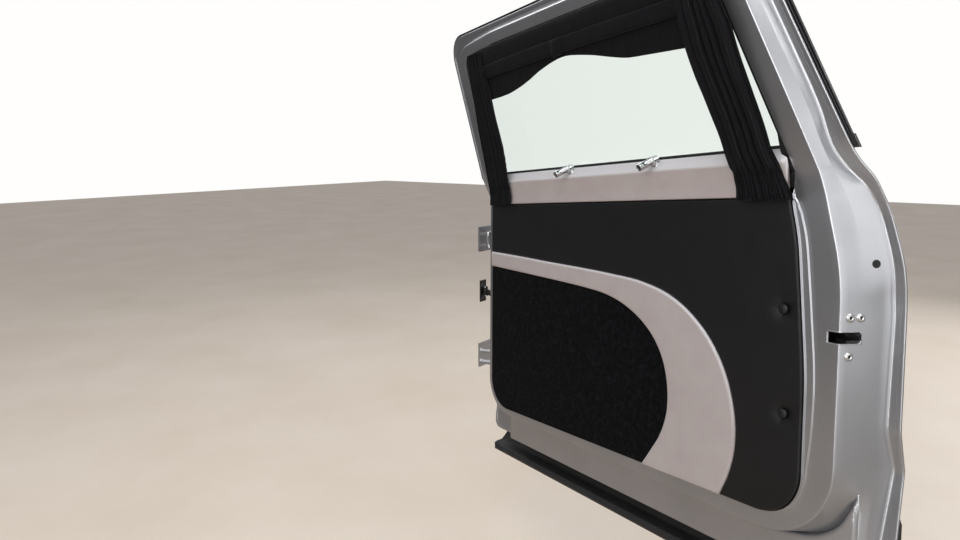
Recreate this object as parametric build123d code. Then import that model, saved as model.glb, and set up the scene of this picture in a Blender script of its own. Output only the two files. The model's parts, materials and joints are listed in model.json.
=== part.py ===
from build123d import *
import os
from math import atan, cos, degrees, radians, sin, sqrt, tan

# Rear side door of a hearse, right-hand side, with its fixed hinge leaves and door check.
# It is drawn closed: X points to the vehicle's front, Y inboard and Z up, with X = 0 at the
# front edge of the leather trim, Y = 0 on the trim's backing and Z = 0 at the trim's lower
# corner. The last section swings it open about its hinges. All lengths are millimetres.

# Door shell
sheet = 2.0                  # pressed steel, drawn thicker than the real 0.8
skin_sheet = 2.5             # outer skin with its hemmed edge
metal_y = -4.0               # inner face of the pressed inner panel
shell_depth = 130.0          # how far the pressing's draft is drawn outboard
draft = 22.0                 # slope of the shut faces
step_draft = 14.0            # slope of the lower step's faces
belt_z = 533.0               # where the window frame starts to lean inboard
lean = 0.235                 # inboard lean of the frame, for each unit of height
frame_depth = 36.0           # from the inner face to the outer frame panel
outer_split_z = 548.0        # top of the outer skin, under the belt moulding

# Inner face of the pressing, seen from the side
face_front_x = 22.0
face_front_top_x = 60.0
face_rear_x = -1031.0
face_corner_r = 200.0        # lower rear corner
face_knee_z = 430.0          # where the rear edge starts to slope to the roof
face_rear_slope = 0.352
face_bottom_z = -76.0
face_top_z = 948.0
face_top_front_z = 936.0     # the roof line falls towards the front corner
roof_knee_x = -120.0
step_y = -25.0               # inboard face of the step under the trim
step_front_x = -50.0
step_rear_x = -1047.0
step_bottom_z = -152.0
step_top_z = 40.0
horn_top_z = 34.0            # the step runs up the rear edge as a horn, beside a hollow
horn_root = (-1016.0, -57.0)
horn_front = (-905.0, -80.0)
horn_radius = 70.0

# Outer edge of the door, seen from the side
skin_front_x = 100.0
skin_front_top_x = 140.0
skin_rear_x = -1092.0
skin_knee_z = 350.0
skin_rear_slope = 0.376
skin_belt_x = -1052.0
skin_belt_z = 512.0
skin_bottom_z = -162.0
skin_top_z = 984.0
hem_width = 11.0
hem_sheet = 1.6

# Section of the outer skin's inner surface, from the sill to the roof, as (Y, Z, radius)
skin_section = (
    (-72.0, -170.0, 0.0),
    (-88.0, -45.0, 120.0),
    (-104.0, 68.0, 22.0),
    (-89.0, 134.0, 40.0),
    (-93.0, 340.0, 380.0),
    (-76.0, 488.0, 160.0),
)

# Window
ring_front_x = 10.0
ring_top_z = 920.0
ring_top_front_z = 905.0
ring_rear_x = -952.0         # at the belt
ring_radius = 38.0
ring_foot = 20.0             # bottom of the opening above the belt, along the lean
opening_y = 20.0             # plane the opening is drawn on, clear of the frame's inner face
glass_t = 4.0
glass_y = -27.0              # inner face of the glass, square to the lean
glass_gap = 4.0              # between the glass edge and the frame's channel
glass_drop = 62.0            # how far the glass reaches into the door
seal_width = 14.0
seal_gap = 0.3
seal_front_y = -9.0
moulding_out = 7.0           # how far the surround stands past the frame
moulding_in = 18.0
moulding_t = 6.0
moulding_foot = 78.0         # its lower end above the belt
end_cap_length = 22.0

# Trim
trim_y = 6.0
trim_top_z = 511.0
trim_bottom_z = -60.0
trim_rear_bottom_z = -39.0
trim_rear_x = -977.0
trim_rear_top_x = -938.0
trim_knee_z = 380.0
trim_gap = 0.4
insert_proud = 3.0           # how far the crescent stands out of the leather
carpet_y = 4.0
button_r = 9.0
button_height = 6.0
button_places = ((-935.0, 323.0), (-941.0, 144.0))
button_names = ("upper", "lower")

# Ledge under the window
ledge_proud = 8.0
ledge_fold_z = 572.0
ledge_top_z = 596.0
ledge_back = -22.0
ledge_front_x = 6.0
ledge_rear_x = -944.0
ledge_radius = 6.0
socket_r = 6.0
socket_bore_r = 4.2
socket_length = 46.0
socket_bore_length = 34.0
socket_tilt = 24.0           # the tube points inboard and down by this much
socket_x = (-330.0, -606.0)
socket_names = ("front", "rear")
foot_size = (26.0, 14.0, 3.0)

# Curtains
curtain_t = 20.0
curtain_off = 5.0            # off the trim plane, square to the lean
curtain_front_x = 2.0
curtain_width = 106.0
curtain_bottom_z = 512.0
rear_curtain_top_x = -752.0
rear_curtain_low_x = -826.0
header_top_z = 916.0
header_bottom_z = 842.0
header_t = 12.0
valance_t = 4.0
valance_low_z = 787.0
valance_rise = 47.0
valance_centre_x = -398.0
valance_half = 190.0
strap_width = 34.0
strap_t = 3.0
strap_top_z = 872.0

# Latch on the rear shut face
latch_z = 292.5
slot_height = 19.0
slot_inner_x = -1010.0
slot_depth_y = -40.0
latch_case_depth = 26.0
latch_case_height = 74.0
latch_case_y = (-64.0, -16.0)
fork_t = 7.0
fork_r = 17.0
screw_head_r = 7.4
screw_head_t = 3.0
screw_shank_r = 4.0
screw_shank_length = 10.0
screw_places = ((-20.0, 26.5), (-37.0, 26.5), (-20.0, -36.0))
plug_r = 6.5
plug_t = 2.5
plug_y = -61.0
plug_z = 404.5

# Sill cladding
clad_t = 4.0
clad_top_z = -8.0
clad_low_z = -222.0
clad_low_y = -50.0
clad_out_y = -104.0
clad_top_y = -98.0
clad_front_x = 70.0
clad_rear_x = -1089.0

# Outer handle
handle_x = (-1010.0, -820.0)
handle_z = 420.0
handle_height = 26.0
handle_stand = 44.0
handle_t = 15.0
handle_foot_length = 34.0
handle_base_t = 2.5

# Hinges
hinge_x = 82.0
hinge_y = -54.0
hinge_z = 220.0
hinge_tilt = 5.4             # the axis leans inboard at the top
open_angle = 67.6
leaf_heights = {"upper": 190.0, "lower": -170.0}
pin_r = 5.0
pin_gap = 0.05
ear_t = 7.0
knuckle_r = 10.5
knuckle_length = 26.0
ear_gap = 0.4
pin_head_r = 8.0
pin_head_t = 3.0
leaf_t = 6.0
body_leaf_y = 50.0           # pillar face, inboard of the hinge axis
body_leaf_length = 92.0
body_leaf_height = 74.0
body_bolt_spacing = 46.0
body_bolt_x = 44.0           # bolt holes ahead of the hinge axis
bolt_hole_r = 4.5
door_leaf_width = 44.0
door_leaf_height = 78.0

# Door check
check_height = 30.0          # above the hinge's middle, along the axis
check_mouth_y = -30.0
check_bracket_angle = 60.0   # direction of its pivot from the hinge axis
check_arm_length = 150.0
check_arm_t = 5.0
check_arm_height = 16.0
check_stop_t = 12.0
check_pin_r = 4.0
check_slot_width = 15.0
check_slot_height = 21.0
check_plate_t = 3.0
bracket_t = 4.0
bracket_gap = 0.5
bracket_bolt_r = 3.3
bracket_bolt_spacing = 42.0

far = 400.0
lean_angle = degrees(atan(lean))
lean_cos = cos(radians(lean_angle))
shut_wall = sheet * (cos(radians(draft)) + sin(radians(draft)))


def rise(z):
    """Inboard shift of the leaning frame at height z."""
    return lean * max(0.0, z - belt_z)


def leaned(y, z):
    """Y, at height z, of the plane that stands y off the leaning frame's base plane."""
    return y / lean_cos + rise(z) if z >= belt_z else y


def along(z):
    """Distance from the belt, along the lean, of a point at height z."""
    return (z - belt_z) / lean_cos


def lean_plane(y):
    """Plane of the window frame, y from the trim plane, facing outboard."""
    return Plane(
        origin=(0, y / lean_cos, belt_z),
        x_dir=(1, 0, 0),
        z_dir=(0, -lean_cos, sin(radians(lean_angle))),
    )


def side_plane(y):
    """Upright plane along the door at y, facing outboard."""
    return Plane(origin=(0, y, 0), x_dir=(1, 0, 0), z_dir=(0, -1, 0))


def outline(points, radii):
    """Closed face through points, with one corner radius for each."""
    return make_face(FilletPolyline(*points, radius=radii, close=True))


def slab(plane, face, thickness, taper=0.0):
    return extrude(plane * face, amount=thickness, taper=taper)


def block(low, high):
    size = [b - a for a, b in zip(low, high)]
    centre = [(a + b) / 2 for a, b in zip(low, high)]
    return Pos(*centre) * Box(*size)


def prism_x(points, x_low, x_high, radii=None):
    """Solid along X from a section of (Y, Z) points."""
    if radii is None:
        face = make_face(Polyline(*points, close=True))
    else:
        face = outline(points, radii)
    plane = Plane(origin=(x_low, 0, 0), x_dir=(0, 1, 0), z_dir=(1, 0, 0))
    return extrude(plane * face, amount=x_high - x_low)


def below(z):
    return block((-2000, -far, -2000), (1000, far, z))


def above(z):
    return block((-2000, -far, z), (1000, far, 2000))


def face_rear(z):
    """X of the inner face's rear edge at height z."""
    return face_rear_x + face_rear_slope * max(0.0, z - face_knee_z)


def lower_face():
    """Inner face below the belt, open at the top where the frame takes over."""
    top = belt_z + 60
    points = (
        (face_front_x, top),
        (face_front_x, face_bottom_z),
        (face_rear_x, face_bottom_z),
        (face_rear_x, face_knee_z),
        (face_rear(top), top),
    )
    return outline(points, (0, 95, face_corner_r, 300, 0))


def upper_face():
    """Inner face of the window frame, in the leaning plane."""
    top = along(face_top_z)
    foot = -60.0
    points = (
        (face_front_x, foot),
        (face_front_top_x, along(face_top_front_z)),
        (roof_knee_x, top),
        (face_rear(face_top_z), top),
        (face_rear(belt_z) + foot * face_rear_slope * lean_cos, foot),
    )
    return outline(points, (0, 56, 400, 92, 0))


def step_face():
    points = (
        (step_front_x, step_top_z),
        (step_front_x, step_bottom_z),
        (step_rear_x, step_bottom_z),
        (step_rear_x + 2, horn_top_z),
        horn_root,
        horn_front,
        (horn_front[0], step_top_z),
    )
    return outline(points, (0, 30, 22, 3, horn_radius, 0, 0))


def ring(inset=0.0, foot=ring_foot):
    """Window opening in the leaning plane, made smaller by inset."""
    slope = face_rear_slope * lean_cos
    top = along(ring_top_z) - inset
    rear_shift = inset * sqrt(1 + slope * slope)
    radius = max(ring_radius - inset, 6.0)
    points = (
        (ring_front_x - inset, foot),
        (ring_front_x - inset, along(ring_top_front_z) - inset),
        (roof_knee_x, top),
        (ring_rear_x + slope * top + rear_shift, top),
        (ring_rear_x + slope * foot + rear_shift, foot),
    )
    return outline(points, (0, radius, 300, radius + 12, 0))


def skin_path(shift):
    """Section of the skin as the region inboard of it, moved outboard by shift."""
    frame_low_z = 592.0
    frame_high_z = 1010.0
    frame_y = metal_y - frame_depth
    rows = [(y - shift, z, r) for y, z, r in skin_section]
    rows.append((frame_y + rise(frame_low_z) - shift, frame_low_z, 90.0))
    rows.append((frame_y + rise(frame_high_z) - shift, frame_high_z, 0.0))
    rows.append((far, frame_high_z, 0.0))
    rows.append((far, skin_section[0][1], 0.0))
    return outline([(y, z) for y, z, r in rows], [r for y, z, r in rows])


def inboard_of_skin(shift=0.0):
    plane = Plane(origin=(-1300, 0, 0), x_dir=(0, 1, 0), z_dir=(1, 0, 0))
    return extrude(plane * skin_path(shift), amount=1600)


def skin_outline(inset=0.0):
    """Outer edge of the door, seen from the side."""
    rear_top_x = skin_belt_x + skin_rear_slope * (skin_top_z - skin_belt_z)
    points = (
        (skin_front_x - inset, skin_bottom_z + inset),
        (skin_front_x - inset, belt_z),
        (skin_front_top_x - inset, skin_top_z - inset),
        (rear_top_x + inset, skin_top_z - inset),
        (skin_belt_x + inset, skin_belt_z),
        (skin_rear_x + inset, skin_knee_z),
        (skin_rear_x + inset, skin_bottom_z + inset),
    )
    return outline(points, (26, 300, 58, 96, 160, 240, 24))


def draft_x(y, base_x, sign):
    """X of a shut face at depth y, from its edge on the inner face."""
    return base_x + sign * (metal_y - y) * tan(radians(draft))


# Pressed inner panel: the face round the trim, the drafted shut faces, the step under the
# trim and the channel round the window, as one pressing
def pressing(inset):
    """Outside of the pressing, or its inside where inset is the sheet thickness."""
    low = slab(side_plane(metal_y - inset), shrink(lower_face(), inset), shell_depth, -draft)
    high = slab(lean_plane(metal_y - inset), shrink(upper_face(), inset), shell_depth, -draft)
    step = slab(side_plane(step_y - inset), shrink(step_face(), inset), shell_depth, -step_draft)
    return (low & below(belt_z)) + (high & above(belt_z)) + step


def shrink(face, inset):
    return offset(face, amount=-inset, kind=Kind.INTERSECTION) if inset else face


def make_inner_panel():
    opening = slab(lean_plane(opening_y), ring(), shell_depth)
    channel = slab(lean_plane(opening_y), ring(-sheet), shell_depth)
    hollow = pressing(sheet) - (channel & above(belt_z + ring_foot))
    belt_gap = slab(
        lean_plane(metal_y - sheet),
        outline(
            (
                (ring_front_x, -6.0),
                (ring_front_x, ring_foot + sheet),
                (ring_rear_x + 12, ring_foot + sheet),
                (ring_rear_x + 12, -6.0),
            ),
            (0, 0, 0, 0),
        ),
        shell_depth,
    )
    panel = (pressing(0.0) & inboard_of_skin()) - hollow - opening - belt_gap
    slot = block(
        (face_rear_x - 60, slot_depth_y, latch_z - slot_height / 2),
        (slot_inner_x, 20, latch_z + slot_height / 2),
    )
    panel = panel - slot
    for y, dz in screw_places:
        panel = panel - at_rear_face(y, latch_z + dz, -20) * Cylinder(screw_shank_r + 0.3, 60)
    plug_hole = Cylinder(plug_r - 2, 20)
    panel = panel - at_rear_face(plug_y, plug_z, 0) * plug_hole
    return panel - check_mouth()


def at_rear_face(y, z, out):
    """Place on the rear shut face, local Z pointing out of it, moved out by out."""
    normal = (-cos(radians(draft)), sin(radians(draft)), 0)
    x = draft_x(y, face_rear_x, -1)
    origin = (x + normal[0] * out, y + normal[1] * out, z)
    return Plane(origin=origin, x_dir=(0, 0, 1), z_dir=normal).location


def front_face_plane(y, z, out=0.0):
    """Place on the front shut face, local X up, local Z pointing out of it."""
    normal = (cos(radians(draft)), sin(radians(draft)), 0)
    x = draft_x(y, face_front_x, 1)
    origin = (x + normal[0] * out, y + normal[1] * out, z)
    return Plane(origin=origin, x_dir=(0, 0, 1), z_dir=normal)


def check_mouth(margin=0.0):
    place = front_face_plane(check_mouth_y, check_mouth_z(), 0)
    size = (check_slot_height - margin, check_slot_width - margin)
    return place.location * Box(size[0], size[1], 30)


# Hinge frame: local Z along the hinge axis, local X to the vehicle's front
hinge_plane = Plane(
    origin=(hinge_x, hinge_y, hinge_z),
    x_dir=(1, 0, 0),
    z_dir=(0, sin(radians(hinge_tilt)), cos(radians(hinge_tilt))),
)


def check_mouth_z():
    """Height of the check's mouth, where its level plane meets the shut face."""
    tilt = radians(hinge_tilt)
    return hinge_z + (check_height - sin(tilt) * (check_mouth_y - hinge_y)) / cos(tilt)


def in_hinge(x, y, z):
    return hinge_plane.to_local_coords(Vector(x, y, z))


# Outer skin with its hemmed edge, and the outer frame panel above the belt
def skin_band():
    return inboard_of_skin(skin_sheet) - inboard_of_skin()


def hem_band():
    return inboard_of_skin() - inboard_of_skin(-hem_sheet)


def make_outer_skin():
    edge = slab(side_plane(far), skin_outline(), 2 * far)
    inner = slab(side_plane(far), skin_outline(hem_width), 2 * far)
    hem = (hem_band() & (edge - inner)) - pressing(0.0)
    return ((skin_band() & edge) + hem) & below(outer_split_z)


def make_frame_outer():
    edge = slab(side_plane(far), skin_outline(), 2 * far)
    inner = slab(side_plane(far), skin_outline(hem_width), 2 * far)
    hem = (hem_band() & (edge - inner)) - pressing(0.0)
    opening = slab(lean_plane(opening_y), ring(6.0, ring_foot - 30), far)
    return (((skin_band() & edge) + hem) & above(outer_split_z)) - opening


def make_glass():
    return slab(lean_plane(glass_y), ring(glass_gap, -glass_drop), glass_t)


def make_glass_seal():
    depth = seal_front_y - (metal_y - frame_depth) * lean_cos - seal_gap
    body = slab(lean_plane(seal_front_y), ring(seal_gap, ring_foot + 1), depth)
    hole = slab(lean_plane(opening_y), ring(seal_width, 0.0), far)
    groove = slab(lean_plane(glass_y + seal_gap), ring(glass_gap - seal_gap, 0.0), glass_t + 2 * seal_gap)
    return body - hole - groove


def make_surround():
    """Black moulding round the outside of the window frame."""
    edge = slab(side_plane(far), skin_outline(-moulding_out), 2 * far)
    inner = slab(side_plane(far), skin_outline(moulding_in), 2 * far)
    outer_y = metal_y - frame_depth - skin_sheet - seal_gap
    layer = slab(lean_plane(outer_y), outline(((-1400, 0), (400, 0), (400, 600), (-1400, 600)), (0,) * 4),
                 moulding_t)
    foot = above(belt_z + moulding_foot)
    return (layer & (edge - inner) & foot) - inboard_of_skin(skin_sheet + seal_gap)


def make_end_caps():
    z = belt_z + moulding_foot
    outer_y = metal_y - frame_depth - skin_sheet - seal_gap
    layer = slab(lean_plane(outer_y), outline(((-1400, 0), (400, 0), (400, 600), (-1400, 600)), (0,) * 4),
                 moulding_t + 2)
    edge = slab(side_plane(far), skin_outline(-moulding_out - 2), 2 * far)
    inner = slab(side_plane(far), skin_outline(moulding_in + 2), 2 * far)
    caps = layer & (edge - inner) & above(z - end_cap_length) & below(z - seal_gap)
    return caps - inboard_of_skin(skin_sheet + seal_gap)


def make_belt_moulding():
    y_skin = -56.0
    low, high = outer_split_z + seal_gap, outer_split_z + 13
    glass_out = glass_y - glass_t - seal_gap
    points = (
        (y_skin, low),
        (leaned(glass_out, low), low),
        (leaned(glass_out, high), high),
        (y_skin + 2, high - 4),
    )
    return prism_x(points, ring_rear_x + 34, ring_front_x - 20)


def make_belt_seal():
    y = ledge_back - seal_gap
    low, high = ledge_top_z - 22, ledge_top_z + 3
    back = glass_y + seal_gap
    points = (
        (leaned(y, low), low),
        (leaned(back, low), low),
        (leaned(back, high), high),
        (leaned(y, high), high),
    )
    return prism_x(points, ledge_rear_x + 46, ledge_front_x - 20)


# Trim: black leather with a grey crescent round a carpet insert
def trim_face():
    points = (
        (0.0, trim_top_z),
        (0.0, trim_bottom_z),
        (trim_rear_x, trim_rear_bottom_z),
        (trim_rear_x + 2, trim_knee_z - 120),
        (trim_rear_top_x, trim_top_z),
    )
    return outline(points, (4, 78, 88, 600, 6))


def crescent_curve(rows, gap=0.0):
    """Region below a curve of (X, Z, radius) rows, out past the trim's edges, less a gap."""
    points = [(x + gap, z - gap) for x, z, r in rows]
    radii = [r for x, z, r in rows]
    points = [(300.0, points[0][1])] + points + [(points[-1][0] + 20, -300.0), (300.0, -300.0)]
    radii = [0.0] + radii + [0.0, 0.0]
    return outline(points, radii)


crescent_outer = (
    (0.0, 379.0, 0.0),
    (-672.0, 344.0, 290.0),
    (-838.0, 185.0, 150.0),
    (-848.0, 62.0, 140.0),
    (-809.0, -50.0, 0.0),
)
crescent_inner = (
    (0.0, 338.0, 0.0),
    (-556.0, 297.0, 240.0),
    (-680.0, 172.0, 128.0),
    (-680.0, 76.0, 128.0),
    (-605.0, -50.0, 0.0),
)


def trim_slab(face, y_out):
    return extrude(side_plane(y_out) * face, amount=y_out - metal_y)


def make_trim_panel():
    return trim_slab(trim_face() - crescent_curve(crescent_outer), trim_y)


def make_crescent():
    band = crescent_curve(crescent_outer, trim_gap) - crescent_curve(crescent_inner)
    return trim_slab(trim_face() & band, trim_y + insert_proud)


def make_carpet():
    return trim_slab(trim_face() & crescent_curve(crescent_inner, trim_gap), carpet_y)


def make_button(x, z):
    place = Plane(origin=(x, trim_y, z), x_dir=(1, 0, 0), z_dir=(0, 1, 0)).location
    head = Cylinder(button_r, button_height, align=(Align.CENTER, Align.CENTER, Align.MIN))
    head = fillet(head.edges().group_by(Axis.Z)[-1], button_height * 0.6)
    return place * head


# Ledge under the window and the two chrome sockets on it
def opening_foot_z(y):
    """Height of the window opening's lower face, which is square to the lean."""
    return belt_z + ring_foot * lean_cos + (opening_y - y) * sin(radians(lean_angle))


def make_ledge():
    back = metal_y + seal_gap
    rows = (
        (back, trim_top_z + 1, 0),
        (ledge_proud, trim_top_z + 1, 3),
        (ledge_proud, belt_z, 20),
        (ledge_proud - 2, ledge_fold_z, ledge_radius),
        (ledge_back, ledge_top_z, 2),
        (ledge_back, opening_foot_z(ledge_back) + seal_gap, 0),
        (back, opening_foot_z(back) + seal_gap, 0),
        (back, belt_z, 0),
    )
    points = [(leaned(y, z), z) for y, z, r in rows]
    ledge = prism_x(points, ledge_rear_x, ledge_front_x, [r for y, z, r in rows])
    sides = slab(lean_plane(metal_y), ring(-far / 4, -80.0), far)
    sides = sides - slab(lean_plane(metal_y), ring(seal_width + seal_gap, -80.0), far)
    return ledge - sides


def ledge_slope_plane(x):
    """Middle of the ledge's sloping top at x, local Z square to it."""
    low = Vector(x, leaned(ledge_proud - 2, ledge_fold_z), ledge_fold_z)
    high = Vector(x, leaned(ledge_back, ledge_top_z), ledge_top_z)
    up = (high - low).normalized()
    normal = Vector(1, 0, 0).cross(up) * -1
    return Plane(origin=(low + high) * 0.5, x_dir=(1, 0, 0), z_dir=normal)


def socket_axis(x):
    """Plane at the tube's mouth, local Z out of the mouth."""
    base = ledge_slope_plane(x)
    centre = base.from_local_coords(Vector(0, 0, foot_size[2] + seal_gap + socket_r + 3))
    tilt = radians(socket_tilt)
    out = Vector(0, cos(tilt), -sin(tilt))
    mouth = centre + out * (socket_length / 2 + 4)
    return Plane(origin=mouth, x_dir=(1, 0, 0), z_dir=out)


def make_socket(x):
    base = ledge_slope_plane(x)
    foot = base.location * (Pos(0, 0, seal_gap + foot_size[2] / 2) * Box(*foot_size))
    neck = base.location * (Pos(0, 0, seal_gap + foot_size[2] + 3) * Box(12, 7, 10))
    mouth = socket_axis(x).location
    tube = mouth * (Pos(0, 0, -socket_length / 2) * Cylinder(socket_r, socket_length))
    bore = mouth * (Pos(0, 0, -socket_bore_length / 2 + 1) * Cylinder(socket_bore_r, socket_bore_length + 2))
    return foot + neck + tube - bore


# Curtains, as plain closed bodies at their real size
def curtain(x_top, x_low):
    """A gathered curtain, leaning with the frame and hanging past the ledge."""
    z_top = header_bottom_z - seal_gap - abs(curtain_t - header_t) * lean
    points = (
        (x_low, along(ledge_top_z)),
        (x_low - curtain_width, along(ledge_top_z)),
        (x_top - curtain_width, along(z_top)),
        (x_top, along(z_top)),
    )
    upper = slab(lean_plane(curtain_off + curtain_t), outline(points, (0,) * 4), curtain_t)
    low_y = ledge_proud + 2
    joint_z = ledge_top_z + 6
    rows = (
        (low_y, curtain_bottom_z),
        (low_y + curtain_t * 0.7, curtain_bottom_z),
        (leaned(curtain_off + curtain_t, joint_z), joint_z),
        (leaned(curtain_off, joint_z), joint_z),
        (leaned(ledge_proud + 2, ledge_fold_z), ledge_fold_z),
    )
    slope_shift = (x_top - x_low) * (ledge_top_z - curtain_bottom_z) / (z_top - ledge_top_z)
    fall = prism_x(rows, x_low - curtain_width - slope_shift, x_low)
    lower = outline(
        (
            (x_low - slope_shift * 0.25, curtain_bottom_z - 5),
            (x_low - curtain_width - slope_shift * 0.25, curtain_bottom_z - 5),
            (x_low - curtain_width, joint_z),
            (x_low, joint_z),
        ),
        (0,) * 4,
    )
    fall = fall & slab(side_plane(far), lower, 2 * far)
    return upper + fall


def make_header():
    """Padded bar across the top of the window, seated in the opening against the seal."""
    face = ring(seal_gap, along(header_bottom_z))
    points_top = along(header_top_z)
    trim_box = outline(
        ((60, along(header_bottom_z)), (60, points_top), (-1000, points_top), (-1000, along(header_bottom_z))),
        (0,) * 4,
    )
    front_y = curtain_off + header_t
    return slab(lean_plane(front_y), face & trim_box, front_y - seal_front_y - seal_gap)


def make_valance():
    """Cloth under the header, its hem raised in an arch at the middle."""
    top = along(header_bottom_z) - seal_gap + header_t * lean
    low = along(valance_low_z)
    high = along(valance_low_z + valance_rise)
    left, right = curtain_front_x - 4, rear_curtain_top_x - 12
    c, h = valance_centre_x, valance_half
    points = (
        (left, top),
        (left, low),
        (c + h, low),
        (c + h * 0.35, high),
        (c - h * 0.35, high),
        (c - h, low),
        (right, low),
        (right, top),
    )
    face = outline(points, (0, 0, 90, 60, 60, 90, 0, 0))
    return slab(lean_plane(curtain_off - seal_gap), face, valance_t)


def make_strap():
    x = valance_centre_x
    points = (
        (x - strap_width / 2, along(header_bottom_z) - 8),
        (x - strap_width / 2, along(strap_top_z)),
        (x + strap_width / 2, along(strap_top_z)),
        (x + strap_width / 2, along(header_bottom_z) - 8),
    )
    y = curtain_off + header_t + seal_gap + strap_t
    return slab(lean_plane(y), outline(points, (2,) * 4), strap_t)


# Latch: the case behind the rear shut face, its fork in the slot, and its three screws
def make_latch_body():
    y0, y1 = latch_case_y
    mid = (y0 + y1) / 2
    place = at_rear_face(mid, latch_z - 4, -shut_wall - seal_gap - latch_case_depth / 2)
    body = place * Box(latch_case_height, y1 - y0, latch_case_depth)
    mouth = block(
        (face_rear_x - 60, slot_depth_y - 4, latch_z - slot_height / 2 - 1),
        (slot_inner_x + 2, 20, latch_z + slot_height / 2 + 1),
    )
    body = body - mouth
    for y, dz in screw_places:
        body = body - at_rear_face(y, latch_z + dz, -20) * Cylinder(screw_shank_r + 0.3, 60)
    return body


def make_latch_fork():
    """Hooked catch plate seen in the mouth of the slot."""
    place = Plane(origin=(-1036.0, slot_depth_y + 4, latch_z), x_dir=(1, 0, 0), z_dir=(0, 0, 1)).location
    plate = place * Box(fork_r, 6, fork_t)
    jaw = place * (Pos(fork_r / 2 - 2, 6, 0) * Box(4, 12, fork_t))
    return plate + jaw


def make_screws():
    screws = []
    for y, dz in screw_places:
        place = at_rear_face(y, latch_z + dz, 0.1)
        head = Cylinder(screw_head_r, screw_head_t, align=(Align.CENTER, Align.CENTER, Align.MIN))
        head = fillet(head.edges().group_by(Axis.Z)[-1], screw_head_t * 0.55)
        recess = Pos(0, 0, screw_head_t) * Cylinder(2.6, 3.0)
        shank = Cylinder(screw_shank_r, screw_shank_length, align=(Align.CENTER, Align.CENTER, Align.MAX))
        screws.append(place * (head + shank - recess))
    return Compound(screws)


def make_plug():
    place = at_rear_face(plug_y, plug_z, 0.1)
    head = Cylinder(plug_r, plug_t, align=(Align.CENTER, Align.CENTER, Align.MIN))
    stem = Cylinder(plug_r - 2.4, 6, align=(Align.CENTER, Align.CENTER, Align.MAX))
    return place * (head + stem)


# Black cladding along the sill, wrapped under the door's lower edge
def make_cladding():
    outer = (
        (clad_top_y, clad_top_z),
        (clad_out_y, clad_top_z - 10),
        (clad_out_y, clad_low_z + 34),
        (clad_out_y + 14, clad_low_z),
        (clad_low_y, clad_low_z),
    )
    inner = (
        (clad_low_y, clad_low_z + clad_t),
        (clad_out_y + 14 + clad_t * 0.6, clad_low_z + clad_t),
        (clad_out_y + clad_t, clad_low_z + 34),
        (clad_out_y + clad_t, clad_top_z - 30),
        (clad_top_y + 12, clad_top_z - 30),
        (clad_top_y + 12, clad_top_z),
    )
    body = prism_x(outer + inner, clad_rear_x, clad_front_x)
    return body - inboard_of_skin(skin_sheet + seal_gap)


# Outer pull handle
def skin_y(z):
    """Y of the skin's outer face on its flat stretch near the handle."""
    (y0, z0, r0), (y1, z1, r1) = skin_section[4], skin_section[5]
    return y0 + (y1 - y0) * (z - z0) / (z1 - z0) - skin_sheet


def make_handle_base():
    x0, x1 = handle_x
    feet = []
    for x in (x0 + handle_foot_length / 2, x1 - handle_foot_length / 2):
        low = (x - handle_foot_length / 2 - 3, skin_y(handle_z) - handle_base_t - 5, handle_z - handle_height / 2 - 3)
        high = (x + handle_foot_length / 2 + 3, 0, handle_z + handle_height / 2 + 3)
        feet.append(block(low, high) - inboard_of_skin(skin_sheet + 0.2))
    return Compound([s for f in feet for s in f.solids()])


def make_handle_grip():
    x0, x1 = handle_x
    y_foot = skin_y(handle_z) - handle_base_t - 5.3
    y_out = skin_y(handle_z) - handle_stand
    points = (
        (x0, y_foot),
        (x0, y_out),
        (x1, y_out),
        (x1, y_foot),
        (x1 - handle_foot_length, y_foot),
        (x1 - handle_foot_length - 12, y_out + handle_t),
        (x0 + handle_foot_length + 12, y_out + handle_t),
        (x0 + handle_foot_length, y_foot),
    )
    face = outline(points, (0, 22, 22, 0, 0, 12, 12, 0))
    plane = Plane(origin=(0, 0, handle_z - handle_height / 2), x_dir=(1, 0, 0), z_dir=(0, 0, 1))
    return extrude(plane * face, amount=handle_height)


# Hinge leaves, pins and the door check, drawn in the hinge frame
def round_arm(length, width, angle, height, centre_z):
    """Flat arm from the hinge axis, round at the axis, pointing along angle."""
    bar = Pos(length / 2, 0, 0) * Box(length, width, height)
    eye = Cylinder(knuckle_r, height)
    return Pos(0, 0, centre_z) * Rot(0, 0, angle) * (bar + eye)


def make_body_leaf(w):
    """Pillar-side leaf: two ears on the pin and a plate bolted to the pillar."""
    centre = hinge_plane.from_local_coords(Vector(0, 0, w))
    y_face = hinge_y + body_leaf_y
    ears = None
    for sign in (-1, 1):
        z = w + sign * (knuckle_length / 2 + ear_gap + ear_t / 2)
        ear = round_arm(y_face - centre.Y + leaf_t, 2 * knuckle_r, 90, ear_t, z)
        ears = ear if ears is None else ears + ear
    low = (hinge_x - knuckle_r, y_face - leaf_t, centre.Z - body_leaf_height / 2)
    high = (hinge_x - knuckle_r + body_leaf_length, y_face, centre.Z + body_leaf_height / 2)
    plate = block(low, high)
    limit = block((-far, -far, centre.Z - far), (far, y_face, centre.Z + far))
    ears = hinge_plane.location * ears
    leaf = (ears & limit) + plate
    for dz in (-body_bolt_spacing / 2, body_bolt_spacing / 2):
        hole = Plane(origin=(hinge_x + body_bolt_x, y_face, centre.Z + dz), z_dir=(0, 1, 0)).location
        leaf = leaf - hole * Cylinder(bolt_hole_r, 4 * leaf_t)
    bore = hinge_plane.location * (Pos(0, 0, w) * Cylinder(pin_r + pin_gap, 3 * knuckle_length))
    return leaf - bore


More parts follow.
